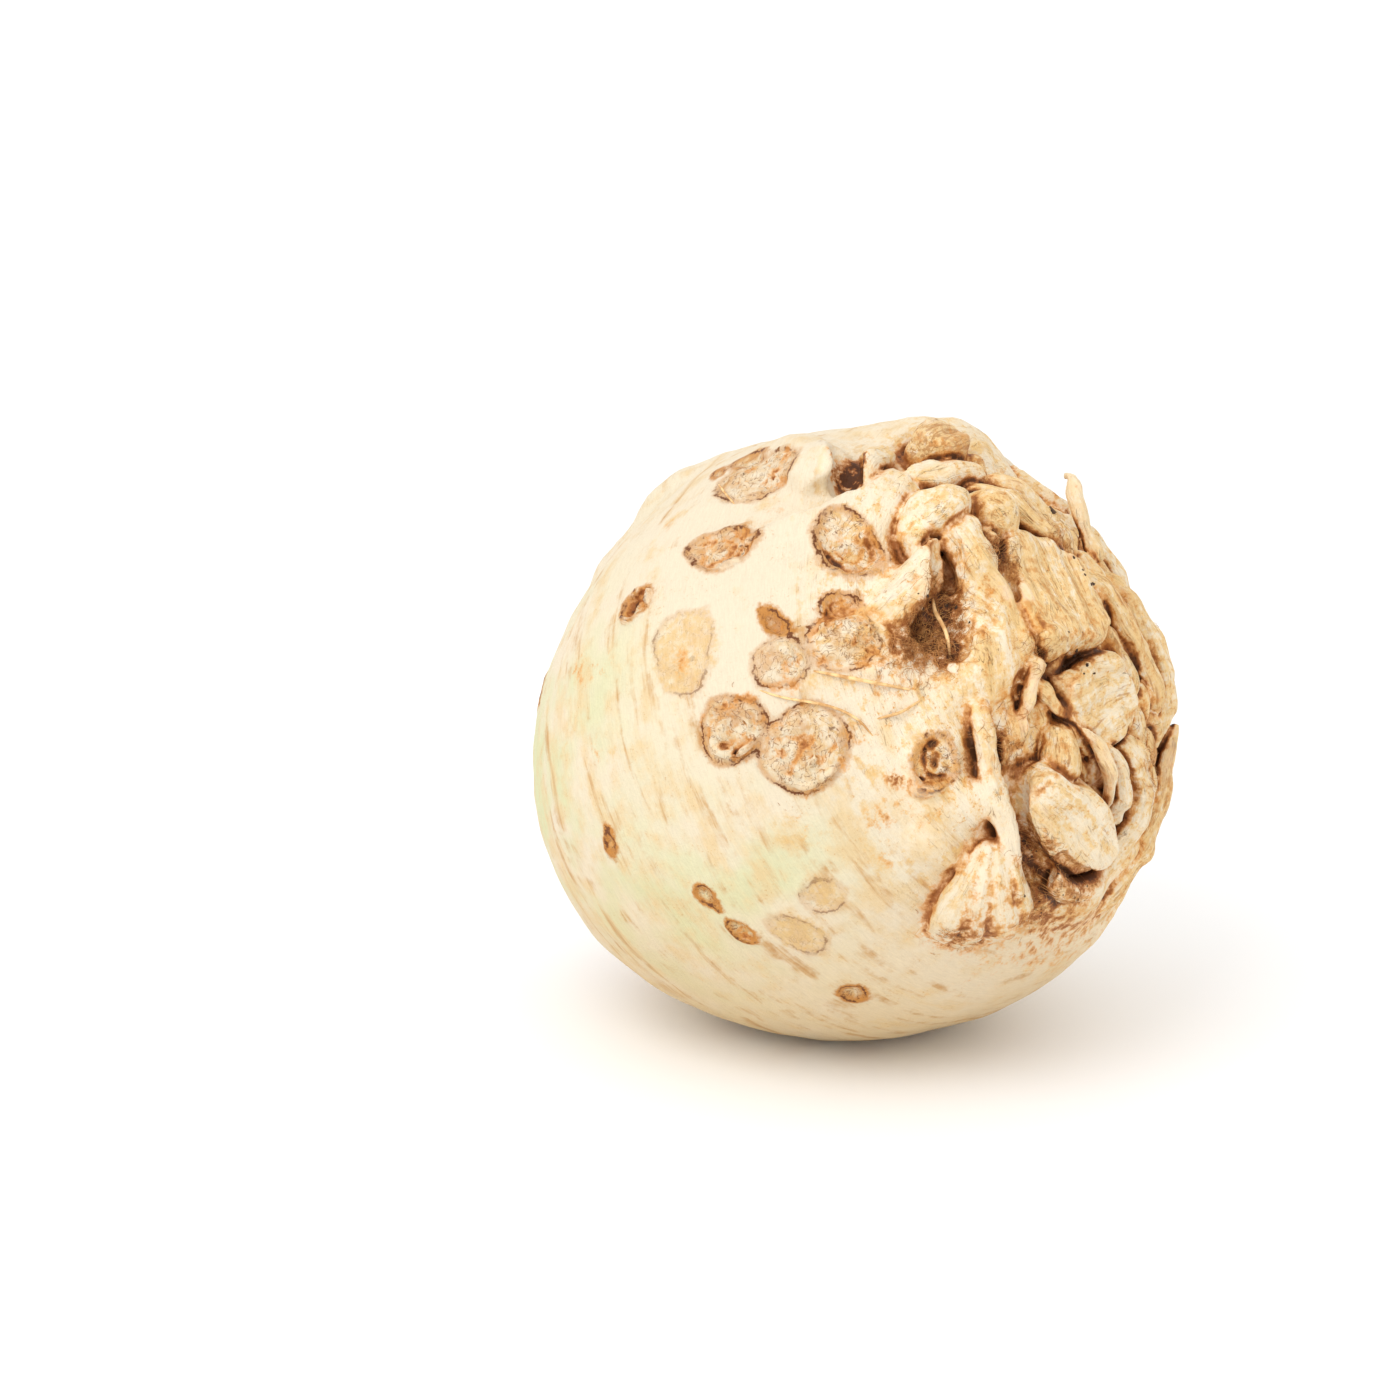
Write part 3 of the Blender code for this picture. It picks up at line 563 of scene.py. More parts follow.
class Grid:
    """The skin on a block of cells: signed distances to it, negative inside, and how it looks.

    tone is how brown it is, crease marks the joints between shapes, scar is how deep inside a scar a cell
    is and scar_tone how brown the scar is, and grain holds three coordinates that follow each root's
    fibres. owned is how much of a cell belongs to a root, stump or nodule and not to the round body, and
    seam marks where the grain jumps.
    """

    def __init__(self):
        self.cell = CELL
        self.low = np.array(LOW_CORNER, np.float32)
        self.axes = [np.arange(a, b, CELL, dtype=np.float32) for a, b in zip(LOW_CORNER, HIGH_CORNER)]
        self.distance = self.body_distance()
        fields = (np.zeros_like(self.distance) for _ in range(8))
        self.tone, self.crease, self.scar_tone, self.owned, self.seam, *self.grain = fields
        self.scar = np.full_like(self.distance, OUTSIDE)
        self.bends = [Noise(BEND[0] + i, BEND[1], self) for i in range(3)]
        self.wobbles = [Noise(WOBBLE[0] + i, WOBBLE[1], self) for i in range(3)]

    def body_distance(self):
        """Distance to the swollen ball, worked out on a coarse grid and spread to the cells."""
        coarse = [np.arange(axis[0], axis[-1] + 1.2 * COARSE_CELL, COARSE_CELL) for axis in self.axes]
        points = np.stack(np.meshgrid(*coarse, indexing="ij"), axis=-1)
        length = np.linalg.norm(points, axis=-1, keepdims=True)
        made = (length[..., 0] - swollen_radius(points / np.maximum(length, 1))).astype(np.float32)
        for axis, knots in zip(self.axes, coarse):
            steps = (axis - knots[0]) / COARSE_CELL
            weights = np.clip(1 - np.abs(steps[:, None] - np.arange(len(knots))[None, :]), 0, None)
            made = np.tensordot(made, weights.astype(np.float32), axes=(0, 1))
        return made

    def box_around(self, low, high):
        """Slices of the grid that cover a box."""
        parts = []
        for axis, start, end in zip(self.axes, low, high):
            first = int(np.clip((start - axis[0]) / self.cell, 0, len(axis) - 1))
            last = int(np.clip((end - axis[0]) / self.cell + 2, 1, len(axis)))
            parts.append(slice(first, last))
        return tuple(parts)

    def places(self, box, bent=True):
        """x, y and z of the cells in a box, each bent a little so that nothing looks turned or cast."""
        straight = np.ix_(*(axis[part] for axis, part in zip(self.axes, box)))
        if not bent:
            return np.broadcast_arrays(*straight)
        return [
            s + BEND[2] * bend.inside(box) + WOBBLE[2] * wobble.inside(box)
            for s, bend, wobble in zip(straight, self.bends, self.wobbles)
        ]

    def fuse(self, box, distance, blend, crease, tone, grain):
        """Joins a shape on with a soft blend and a crease along the joint, and gives it its looks."""
        here = self.distance[box]
        apart = here - distance
        share = np.clip(0.5 + apart, 0, 1)
        sharpness = np.sqrt(sum(slope**2 for slope in np.gradient(apart, self.cell))) / SHARP_SLOPE
        sharpness = np.clip(sharpness, 0.05, 1)
        line = sharpness * np.exp(-((apart / (CREASE_WIDTH * sharpness)) ** 2))
        joined = np.minimum(here, distance) - np.clip(blend - np.abs(apart), 0, None) ** 2 / (4 * blend)
        self.distance[box] = joined + crease * line
        # The crease line later darkens the skin along the joint, as soil and painted shade.
        self.crease[box] = np.maximum(self.crease[box] * (1 - share), line * min(crease * 1.5, 1))
        self.tone[box] += share * (tone - self.tone[box])
        if grain is not None:
            mine = apart > 0
            self.owned[box][mine] = 1
            self.seam[box] = np.maximum(self.seam[box] * (apart < 0), np.abs(apart) < 1.5 * self.cell)
            for kept, new in zip(self.grain, grain):
                kept[box][mine] = (new + np.zeros_like(apart))[mine]

    def carve(self, box, distance, blend):
        """Takes a shape away, with a soft edge."""
        here = self.distance[box]
        apart = np.abs(here + distance)
        self.distance[box] = np.maximum(here, -distance) + np.clip(blend - apart, 0, None) ** 2 / (4 * blend)

    def sample(self, values, points):
        """A field's values at points between the cells."""
        steps = (points - self.low) / self.cell
        whole = np.clip(np.floor(steps).astype(int), 0, np.array(values.shape) - 2)
        part = np.clip(steps - whole, 0, 1)
        made = np.zeros(len(points))
        for corner in np.ndindex(2, 2, 2):
            weight = np.prod(np.where(corner, part, 1 - part), axis=1)
            made += weight * values[tuple((whole + corner).T)]
        return made


def smooth_route(points, radii, steps=6):
    """Points and radii along a smooth curve through the given ones."""
    knots = np.column_stack([points, radii])
    padded = np.vstack([2 * knots[0] - knots[1], knots, 2 * knots[-1] - knots[-2]])
    made = []
    for i in range(len(knots) - 1):
        a, b, c, d = padded[i : i + 4]
        for t in np.linspace(0, 1, steps, endpoint=False):
            made.append(
                b + 0.5 * t * (c - a + t * (2 * a - 5 * b + 4 * c - d + t * (3 * (b - c) + d - a)))
            )
    made.append(knots[-1])
    made = np.array(made)
    return made[:, :3], made[:, 3]


def root_route(first, middle, last, route):
    """Smooth points and radii of a root whose crest stands at the stated heights."""
    radii = np.interp(np.linspace(0, 2, len(route)), (0, 1, 2), (first, middle, last))
    points = [place(turn, rise, height - radius) for (turn, rise, height), radius in zip(route, radii)]
    return smooth_route(np.array(points), radii)


def root_ridges(height, radius, angle, along, number):
    """How far the ridges that run along a root stand out, lower on thin roots."""
    wave = np.sin(5 * angle + 0.15 * along + number) + np.sin(9 * angle - 0.2 * along + 2 * number)
    return height * np.minimum(radius / 4, 1) * (wave + 0.5 * np.sin(1.3 * along + 2 * angle))


def tube_distance(grid, points, radii, number=0, ridges=0.0, bent=True):
    """The box around a tube, the distances to it there and the coordinates of its grain."""
    margin = radii.max() + REACH
    box = grid.box_around(points.min(0) - margin, points.max(0) + margin)
    x, y, z = grid.places(box, bent)
    distance = np.full(x.shape, 2 * REACH, np.float32)
    grain = [np.zeros_like(distance) for _ in range(3)]
    starts = [part.start for part in box]
    travelled = 0.0
    for i in range(len(points) - 1):
        a, b = points[i], points[i + 1]
        margin = max(radii[i], radii[i + 1]) + REACH
        near = grid.box_around(np.minimum(a, b) - margin, np.maximum(a, b) + margin)
        near = tuple(slice(n.start - s, n.stop - s) for n, s in zip(near, starts))
        step = b - a
        length = math.sqrt(step @ step)
        sideways = np.cross(step / length, a / np.linalg.norm(a))
        sideways /= np.linalg.norm(sideways)
        upwards = np.cross(sideways, step / length)
        px, py, pz = x[near] - a[0], y[near] - a[1], z[near] - a[2]
        t = np.clip((px * step[0] + py * step[1] + pz * step[2]) / (step @ step), 0, 1)
        px -= t * step[0]
        py -= t * step[1]
        pz -= t * step[2]
        radius = radii[i] + t * (radii[i + 1] - radii[i])
        along = travelled + t * length
        side = px * sideways[0] + py * sideways[1] + pz * sideways[2]
        up = px * upwards[0] + py * upwards[1] + pz * upwards[2]
        away = np.sqrt(px * px + py * py + pz * pz) - radius
        if ridges:
            away -= root_ridges(ridges, radius, np.arctan2(side, up), along, number)
        closer = away < distance[near]
        distance[near] = np.where(closer, away, distance[near])
        for kept, new in zip(grain, (along * GRAIN_SQUEEZE + number * ID_STEP, side, up)):
            kept[near] = np.where(closer, new, kept[near])
        travelled += length
    return box, distance, grain


def local_places(grid, turn, rise, twist, lift, size):
    """The box around a place, and coordinates there along, across and out of the body."""
    middle = place(turn, rise, lift)
    box = grid.box_around(middle - size, middle + size)
    x, y, z = grid.places(box)
    x, y, z = x - middle[0], y - middle[1], z - middle[2]
    return box, [x * axis[0] + y * axis[1] + z * axis[2] for axis in axes_at(turn, rise, twist)]


def soft_max(a, b, blend):
    """The larger of two distances, rounded where they meet."""
    return np.maximum(a, b) + np.clip(blend - np.abs(a - b), 0, None) ** 2 / (4 * blend)


def nearness(grid, turn, rise, inner, outer):
    """1 within the inner angle of a place, fading to 0 at the outer angle."""
    x, y, z = np.ix_(*grid.axes)
    towards = direction(turn, rise).astype(np.float32)
    cosine = x * towards[0] + y * towards[1] + z * towards[2]
    cosine = cosine / np.sqrt(x * x + y * y + z * z + 1)
    low, high = math.cos(math.radians(outer)), math.cos(math.radians(inner))
    return np.clip((cosine - low) / (high - low), 0, 1).astype(np.float32)


def add_lumps(grid):
    """Low lumps packed side by side that fill the root end between its roots."""
    random = np.random.default_rng(LUMP_SEED)
    fade = nearness(grid, *LUMP_MIDDLE, LUMP_SPREAD - LUMP_EDGE, LUMP_SPREAD)
    cells = np.nonzero((np.abs(grid.distance) < REACH + 1) & (fade > 0))
    fade = fade[cells]
    points = np.stack([axis[index] for axis, index in zip(grid.axes, cells)], axis=-1)
    everywhere = (slice(None),) * 3
    for i, bend in enumerate(grid.bends):
        points[:, i] += LUMP_BEND * bend.inside(everywhere)[cells]
    first = np.full(len(points), 1e3, np.float32)
    second = first.copy()
    looks = np.zeros((5, len(points)), np.float32)
    middle = direction(*LUMP_MIDDLE)
    level = np.cross(middle, (0, 0, 1))
    level /= np.linalg.norm(level)
    upright = np.cross(level, middle)
    for number in range(LUMP_COUNT):
        off = math.radians(LUMP_SPREAD) * math.sqrt((number + 0.5) / LUMP_COUNT)
        around = LUMP_TURN * number + random.uniform(-0.3, 0.3)
        towards = math.cos(off) * middle
        towards = towards + math.sin(off) * (math.cos(around) * level + math.sin(around) * upright)
        seed = towards * swollen_radius(towards)
        down = np.array((0, 0, -1.0)) + 0.35 * level * random.uniform(-1, 1)
        down -= towards * (down @ towards)
        down /= np.linalg.norm(down)
        across = np.cross(towards, down)
        part = points - seed
        along, sideways, height = (part @ axis for axis in (down, across, towards))
        length, width, depth = LUMP_SHAPE
        away = np.sqrt((along * length) ** 2 + (sideways * width) ** 2 + (depth * height) ** 2)
        away = away.astype(np.float32)
        closer = away < first
        second = np.where(closer, first, np.minimum(second, away))
        first = np.where(closer, away, first)
        values = (random.uniform(*LUMP_HEIGHT), random.uniform(*LUMP_TONE))
        values += (along * LUMP_GRAIN + number * ID_STEP, sideways, height)
        for kept, new in zip(looks, values):
            kept[closer] = new[closer] if np.ndim(new) else new
    valley = np.exp(-(((second - first) / VALLEY_WIDTH) ** 2))
    rise = LUMP_RISE + looks[0] * (1 - (first / second) ** 2) - VALLEY_DEPTH * valley
    grid.distance[cells] -= fade * rise
    grid.tone[cells] = fade * looks[1]
    # The valleys between lumps later darken through the crease, as soil and painted shade.
    grid.crease[cells] = fade * valley
    mine = fade > LUMPS_FROM
    grid.owned[cells] = mine
    grid.seam[cells] = np.maximum(second - first < 1.5, np.abs(fade - LUMPS_FROM) < 0.06)
    for kept, new in zip(grid.grain, looks[2:5]):
        kept[cells] = mine * new


def add_side_roots(grid):
    """The side roots, strips and flaps, with a grain of their own where they stand out clearly."""
    for number, (first, middle, last, blend, crease, tone, route) in enumerate(SIDE_ROOTS.values()):
        points, radii = root_route(first, middle, last, route)
        box, distance, grain = tube_distance(grid, points, radii, number, RIDGES)
        grid.fuse(box, distance, blend, crease, tone, grain if crease >= CLEAR_CREASE else None)


def add_cut_stumps(grid):
    """Stumps with a cut face that slopes and is a little folded."""
    outline = Noise(*STUMP_OUTLINE[:2], grid)
    face = Noise(*STUMP_FACE[:2], grid)
    for number, stump in enumerate(CUT_STUMPS.values()):
        turn, rise, twist, length, width, height, tilt_along, tilt_across, tone = stump
        box, (along, across, out) = local_places(grid, turn, rise, twist, 0, length + REACH)
        flare = 1.1 - 0.03 * out + STUMP_OUTLINE[2] * outline.inside(box)
        corners = np.abs(along / length) ** STUMP_CORNERS + np.abs(across / width) ** STUMP_CORNERS
        side = (corners ** (1 / STUMP_CORNERS) - flare) * width
        slope = math.tan(math.radians(tilt_along)) * along + math.tan(math.radians(tilt_across)) * across
        uneven = face.inside(box)
        folds = np.sin(1.1 * across + 2.5 * uneven) * STUMP_FOLDS
        top = out - height - slope - STUMP_FACE[2] * uneven - folds
        grain = (along * GRAIN_SQUEEZE + number * ID_STEP, across, out)
        grid.fuse(box, soft_max(side, top, STUMP_EDGE), 0.8, 0.9, tone, grain)


def add_nodules(grid):
    """Rounded nodules, and low swellings that stay part of the skin."""
    for number, (turn, rise, twist, length, width, height, blend, tone) in enumerate(NODULES.values()):
        box, (along, across, out) = local_places(grid, turn, rise, twist, -2, length + REACH)
        sizes = (length, width, height + 2)
        near = np.sqrt(sum((c / s) ** 2 for c, s in zip((along, across, out), sizes)))
        slope = np.sqrt(sum((c / s**2) ** 2 for c, s in zip((along, across, out), sizes)))
        raised = height >= RAISED_NODULE
        grain = (along * NODULE_GRAIN + number * ID_STEP, across, out) if raised else None
        crease = 0.4 if raised else 0
        grid.fuse(box, near * (near - 1) / np.maximum(slope, 1e-3), blend, crease, tone, grain)


def add_leaf_end(grid):
    """Rings of leaf bases around the brown heart of the trimmed crown."""
    along, across, out = axes_at(*LEAF_END, 0)
    number = 0
    for ring, count, start, thickness, height in LEAF_RINGS:
        for base in range(count):
            knots = []
            for step, crest in enumerate((0, height, height, 0)):
                angle = math.radians(start + (base + LEAF_SHARE * step / 3) * 360 / count)
                towards = out * BODY_RADIUS + ring * (math.cos(angle) * along + math.sin(angle) * across)
                towards /= np.linalg.norm(towards)
                knots.append(towards * (swollen_radius(towards) + crest - thickness))
            points, radii = smooth_route(np.array(knots), np.full(len(knots), thickness))
            box, distance, grain = tube_distance(grid, points, radii, number, RIDGES)
            grid.fuse(box, distance, 1.2, 0.6, 0.4, grain)
            number += 1


def carve_gaps(grid):
    """Takes out the deep gaps between the roots."""
    for radius, route in GAPS.values():
        knots = np.array([place(*spot) for spot in route])
        points, radii = smooth_route(knots, np.full(len(knots), radius))
        box, distance, _ = tube_distance(grid, points, radii)
        grid.carve(box, distance, GAP_EDGE)


def add_scar_folds(grid):
    """Curled folds of dried skin inside the rough scars."""
    random = np.random.default_rng(FOLD_SEED)
    for turn, rise, twist, length, width, _, _, roughness, _ in SCARS:
        if roughness < FOLDED_FROM:
            continue
        along, across, out = axes_at(turn, rise, twist)
        for share in FOLD_SHARES:
            start = random.uniform(0, 2 * math.pi)
            sweep = random.uniform(*FOLD_SWEEP)
            towards = []
            for step in range(FOLD_KNOTS):
                angle = start + sweep * step / (FOLD_KNOTS - 1)
                off = length * math.cos(angle) * along + width * math.sin(angle) * across
                towards.append(out * BODY_RADIUS + share * random.uniform(0.85, 1.1) * off)
            towards = np.array(towards)
            towards /= np.linalg.norm(towards, axis=1, keepdims=True)
            crest = surface_radius(grid, towards) + FOLD_HEIGHT * roughness * np.array(FOLD_CREST)
            knots = towards * (crest - FOLD_RADIUS)[:, None]
            points, radii = smooth_route(knots, np.full(FOLD_KNOTS, FOLD_RADIUS))
            box, distance, _ = tube_distance(grid, points, radii, bent=False)
            grid.fuse(box, distance, 0.4, 0.12, 0.3, None)


def press_scars(grid):
    """Presses the scars in, each with a rim or groove, a rough middle and curled cracks."""
    rough = Noise(*SCAR_GRIT, grid)
    ragged = Noise(*SCAR_OUTLINE, grid)
    for turn, rise, twist, length, width, rim, depth, roughness, brownness in SCARS:
        box, (along, across, out) = local_places(grid, turn, rise, twist, 0, 1.4 * length + 2)
        fine = rough.inside(box)
        broad = ragged.inside(box)
        away = np.sqrt((along / length) ** 2 + (across / width) ** 2) + 0.12 * broad + 0.3 * fine / width
        deep = np.where(np.abs(out) < SCAR_REACH, (1 - away) * width, OUTSIDE).astype(np.float32)
        edge = np.exp(-((deep / 0.8) ** 2)) * (0.7 + 0.6 * broad)
        inner = np.clip(deep / 1.2, 0, 1)
        wave = np.sin(7 * away + 2.5 * broad + 0.6 * fine + 0.4 * along)
        cracks = inner * roughness * np.exp(-((wave / 0.55) ** 2)) * np.clip(0.7 + broad, 0.1, 1.2)
        grid.distance[box] -= rim * edge - inner * (depth - 0.5 * roughness * fine) - 0.8 * cracks
        # The cracks' crease later darkens them as painted shade.
        grid.crease[box] += 3.0 * cracks * brownness
        inside = deep > grid.scar[box]
        grid.scar[box][inside] = deep[inside]
        grid.scar_tone[box][inside] = brownness


def roughen(grid):
    """Small bumps everywhere, and wrinkles and pits at the root end."""
    everywhere = (slice(None),) * 3
    for seed, grain, height in SKIN_BUMPS:
        grid.distance += height * Noise(seed, grain, grid).inside(everywhere)
    tangle = nearness(grid, *ROOT_END, *WRINKLED_ZONE)
    seed, grain, height = ROOT_BUMPS
    grid.distance += tangle * height * Noise(seed, grain, grid).inside(everywhere)
    seed, grain, height = ROOT_FOLDS
    folds = 1 - 2 * np.abs(Noise(seed, grain, grid, FOLD_STRETCH).inside(everywhere))
    grid.distance -= tangle * height * folds
    seed, grain, height = WRINKLES
    wrinkles = np.exp(-((Noise(seed, grain, grid).inside(everywhere) / WRINKLE_WIDTH) ** 2))
    wrinkles *= np.clip(0.5 + Noise(*WRINKLE_PLACES, grid).inside(everywhere), 0, 1)
    grid.distance += tangle * height * wrinkles
    # The wrinkles' crease later darkens them as soil and painted shade.
    grid.crease += tangle * 0.4 * wrinkles


def make_grid():
    """The whole skin, cut off flat where it rests."""
    grid = Grid()
    add_lumps(grid)
    add_side_roots(grid)
    add_cut_stumps(grid)
    add_nodules(grid)
    add_leaf_end(grid)
    carve_gaps(grid)
    add_scar_folds(grid)
    press_scars(grid)
    roughen(grid)
    grid.distance[:] = np.maximum(grid.distance, -CENTRE_HEIGHT - grid.axes[2][None, None, :])
    return grid


def mesh_of(name, points, faces):
    """A mesh from points in millimetres about the body's centre and faces of one size."""
    faces = np.asarray(faces, np.int32)
    standing = (np.asarray(points) + (0, 0, CENTRE_HEIGHT)) * MM
    mesh = bpy.data.meshes.new(name)
    mesh.vertices.add(len(standing))
    mesh.vertices.foreach_set("co", standing.astype(np.float32).ravel())
    mesh.loops.add(faces.size)
    mesh.loops.foreach_set("vertex_index", faces.ravel())
    mesh.polygons.add(len(faces))
    mesh.polygons.foreach_set("loop_start", np.arange(0, faces.size, faces.shape[1], dtype=np.int32))
    mesh.update(calc_edges=True)
    mesh.validate()
    mesh.shade_smooth()
    return mesh


def angle_from(points, turn, rise):
    """Degrees between the directions of points and a place."""
    towards = points / np.linalg.norm(points, axis=1, keepdims=True)
    return np.degrees(np.arccos(np.clip(towards @ direction(turn, rise), -1, 1)))


def piece_of(name, mesh, material):
    """An object that stands for the root and rides on it."""
    piece = bpy.data.objects.new(name, mesh)
    bpy.context.scene.collection.objects.link(piece)
    mesh.materials.append(material)
    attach(piece, "root")
    return piece


def vertex_places(mesh):
    """The vertices, in millimetres about the body's centre, and their normals."""
    places = np.zeros(len(mesh.vertices) * 3, np.float32)
    mesh.vertices.foreach_get("co", places)
    normals = np.zeros(len(mesh.vertices) * 3, np.float32)
    mesh.vertex_normals.foreach_get("vector", normals)
    return places.reshape(-1, 3) / MM - (0, 0, CENTRE_HEIGHT), normals.reshape(-1, 3)


def thin_out(skin, grid):
    """Takes faces away where the skin is smooth, and keeps the fine ones at both ends and in scars."""
    points, _ = vertex_places(skin.data)
    smooth = np.clip((angle_from(points, *ROOT_END) - FINE_ROOT_END) / 20, 0, 1)
    smooth *= np.clip(-grid.sample(grid.scar, points), 0.3, 1)
    busy = np.clip((FINE_LEAF_END - angle_from(points, *LEAF_END)) / 10, 0, 1)
    weights = 0.1 + 0.6 * np.clip(smooth - 0.4 * busy, 0, 1)
    group = skin.vertex_groups.new(name="smooth")
    for level in range(1, 11):
        chosen = np.nonzero(np.ceil(weights * 10) == level)[0]
        group.add(chosen.tolist(), level / 10, "REPLACE")
    thin = skin.modifiers.new("Thin out", "DECIMATE")
    thin.ratio = min(1.0, MOST_FACES / (2 * len(skin.data.polygons)))
    thin.vertex_group = group.name
    thin.vertex_group_factor = 1.0
    thin.use_collapse_triangulate = True
    graph = bpy.context.evaluated_depsgraph_get()
    skin.data = bpy.data.meshes.new_from_object(skin.evaluated_get(graph))
    skin.modifiers.clear()
    skin.vertex_groups.clear()
    skin.data.shade_smooth()


def body_grain(points):
    """Coordinates that run round the growth axis, squeezed, and from its root end to its leaf end."""
    out = direction(*ROOT_END)
    along, across, _ = axes_at(*ROOT_END, 0)
    round_axis = np.stack([points @ along, points @ across], axis=1)
    off = np.arctan2(np.linalg.norm(round_axis, axis=1), points @ out)
    round_axis /= np.linalg.norm(round_axis, axis=1, keepdims=True) + 1e-6
    wide = GRAIN_SQUEEZE * BODY_RADIUS * round_axis
    return np.column_stack([wide, off * BODY_RADIUS])


def stain_depth(points):
    """How far inside a flat stain each point is, in millimetres, and at most a few outside."""
    made = np.full(len(points), OUTSIDE)
    for turn, rise, twist, length, width in STAINS:
        part = points - place(turn, rise)
        along, across, out = (part @ axis for axis in axes_at(turn, rise, twist))
        away = np.sqrt((along / length) ** 2 + (across / width) ** 2)
        made = np.maximum(made, np.where(np.abs(out) < STAIN_REACH, (1 - away) * width, OUTSIDE))
    return made


def zones(points, places):
    """How strongly each point lies in a set of round zones with soft edges."""
    return sum(
        amount * np.exp(-((angle_from(points, turn, rise) / spread) ** 2))
        for turn, rise, spread, amount in places
    )


def steadiness(mesh, points, grain):
    """One where the grain runs on evenly, and zero where it jumps from one shape's to another's."""
    ends = np.zeros(len(mesh.edges) * 2, np.int32)
    mesh.edges.foreach_get("vertices", ends)
    first, second = ends.reshape(-1, 2).T
    length = np.linalg.norm(points[first] - points[second], axis=1) + 0.1
    jump = np.linalg.norm(grain[first] - grain[second], axis=1) / length
    most = np.zeros(len(points))
    np.maximum.at(most, first, jump)
    np.maximum.at(most, second, jump)
    return np.clip(STEADY_JUMP - most, 0, 1)


def set_looks(mesh, grid):
    """Stores what the skin's colours depend on at each vertex."""
    points, normals = vertex_places(mesh)
    owned = grid.sample(grid.owned, points)
    seam = grid.sample(grid.seam, points)
    grain = np.stack([grid.sample(part, points) for part in grid.grain], axis=1)
    grain += (1 - owned)[:, None] * body_grain(points)
    # cavity later darkens hollows as painted shade, and ridge lightens thin edges as a painted highlight.
    cavity = np.zeros(len(points))
    ridge = np.zeros(len(points))
    for reach, share in CAVITY_REACHES:
        outside = grid.sample(grid.distance, points + normals * reach)
        inside = grid.sample(grid.distance, points - normals * reach)
        cavity += share * np.clip(1 - outside / reach, 0, 1)
        ridge += share * np.clip(1 + inside / reach, 0, 1)
    main, right = angle_from(points, *ROOT_END), angle_from(points, *RIGHT_SIDE)
    looks = {
        "tone": grid.sample(grid.tone, points),
        "crease": grid.sample(grid.crease, points),
        "steady": steadiness(mesh, points, grain) * (1 - np.clip(2 * seam, 0, 1)),
        "low": np.clip(0.6 - (points[:, 2] + CENTRE_HEIGHT) / WARM_HEIGHT, 0, 1),
        "scar": grid.sample(grid.scar, points),
        "scar_tone": grid.sample(grid.scar_tone, points),
        "root_end": np.clip(np.maximum(1.35 - main / ROOT_SPREAD, 1.2 - right / RIGHT_SPREAD), 0, 1),
        "stain": stain_depth(points),
        "cavity": cavity,
        "ridge": ridge,
        "green": zones(points, GREEN_PLACES),
        "earthy": zones(points, EARTHY_PLACES),
        "pale": np.exp(-((angle_from(points, *PALE_PLACE) / PALE_SPREAD) ** 2)),
    }
    for name, values in looks.items():
        stored = mesh.attributes.new(name, "FLOAT", "POINT")
        stored.data.foreach_set("value", values.astype(np.float32))
    stored = mesh.attributes.new("grain", "FLOAT_VECTOR", "POINT")
    stored.data.foreach_set("vector", grain.astype(np.float32).ravel())


def linear(red, green, blue):
    """A colour given as on a screen, from 0 to 255, as the shader takes it."""
    parts = [part / 255 for part in (red, green, blue)]
    return *(p / 12.92 if p < 0.04045 else ((p + 0.055) / 1.055) ** 2.4 for p in parts), 1.0


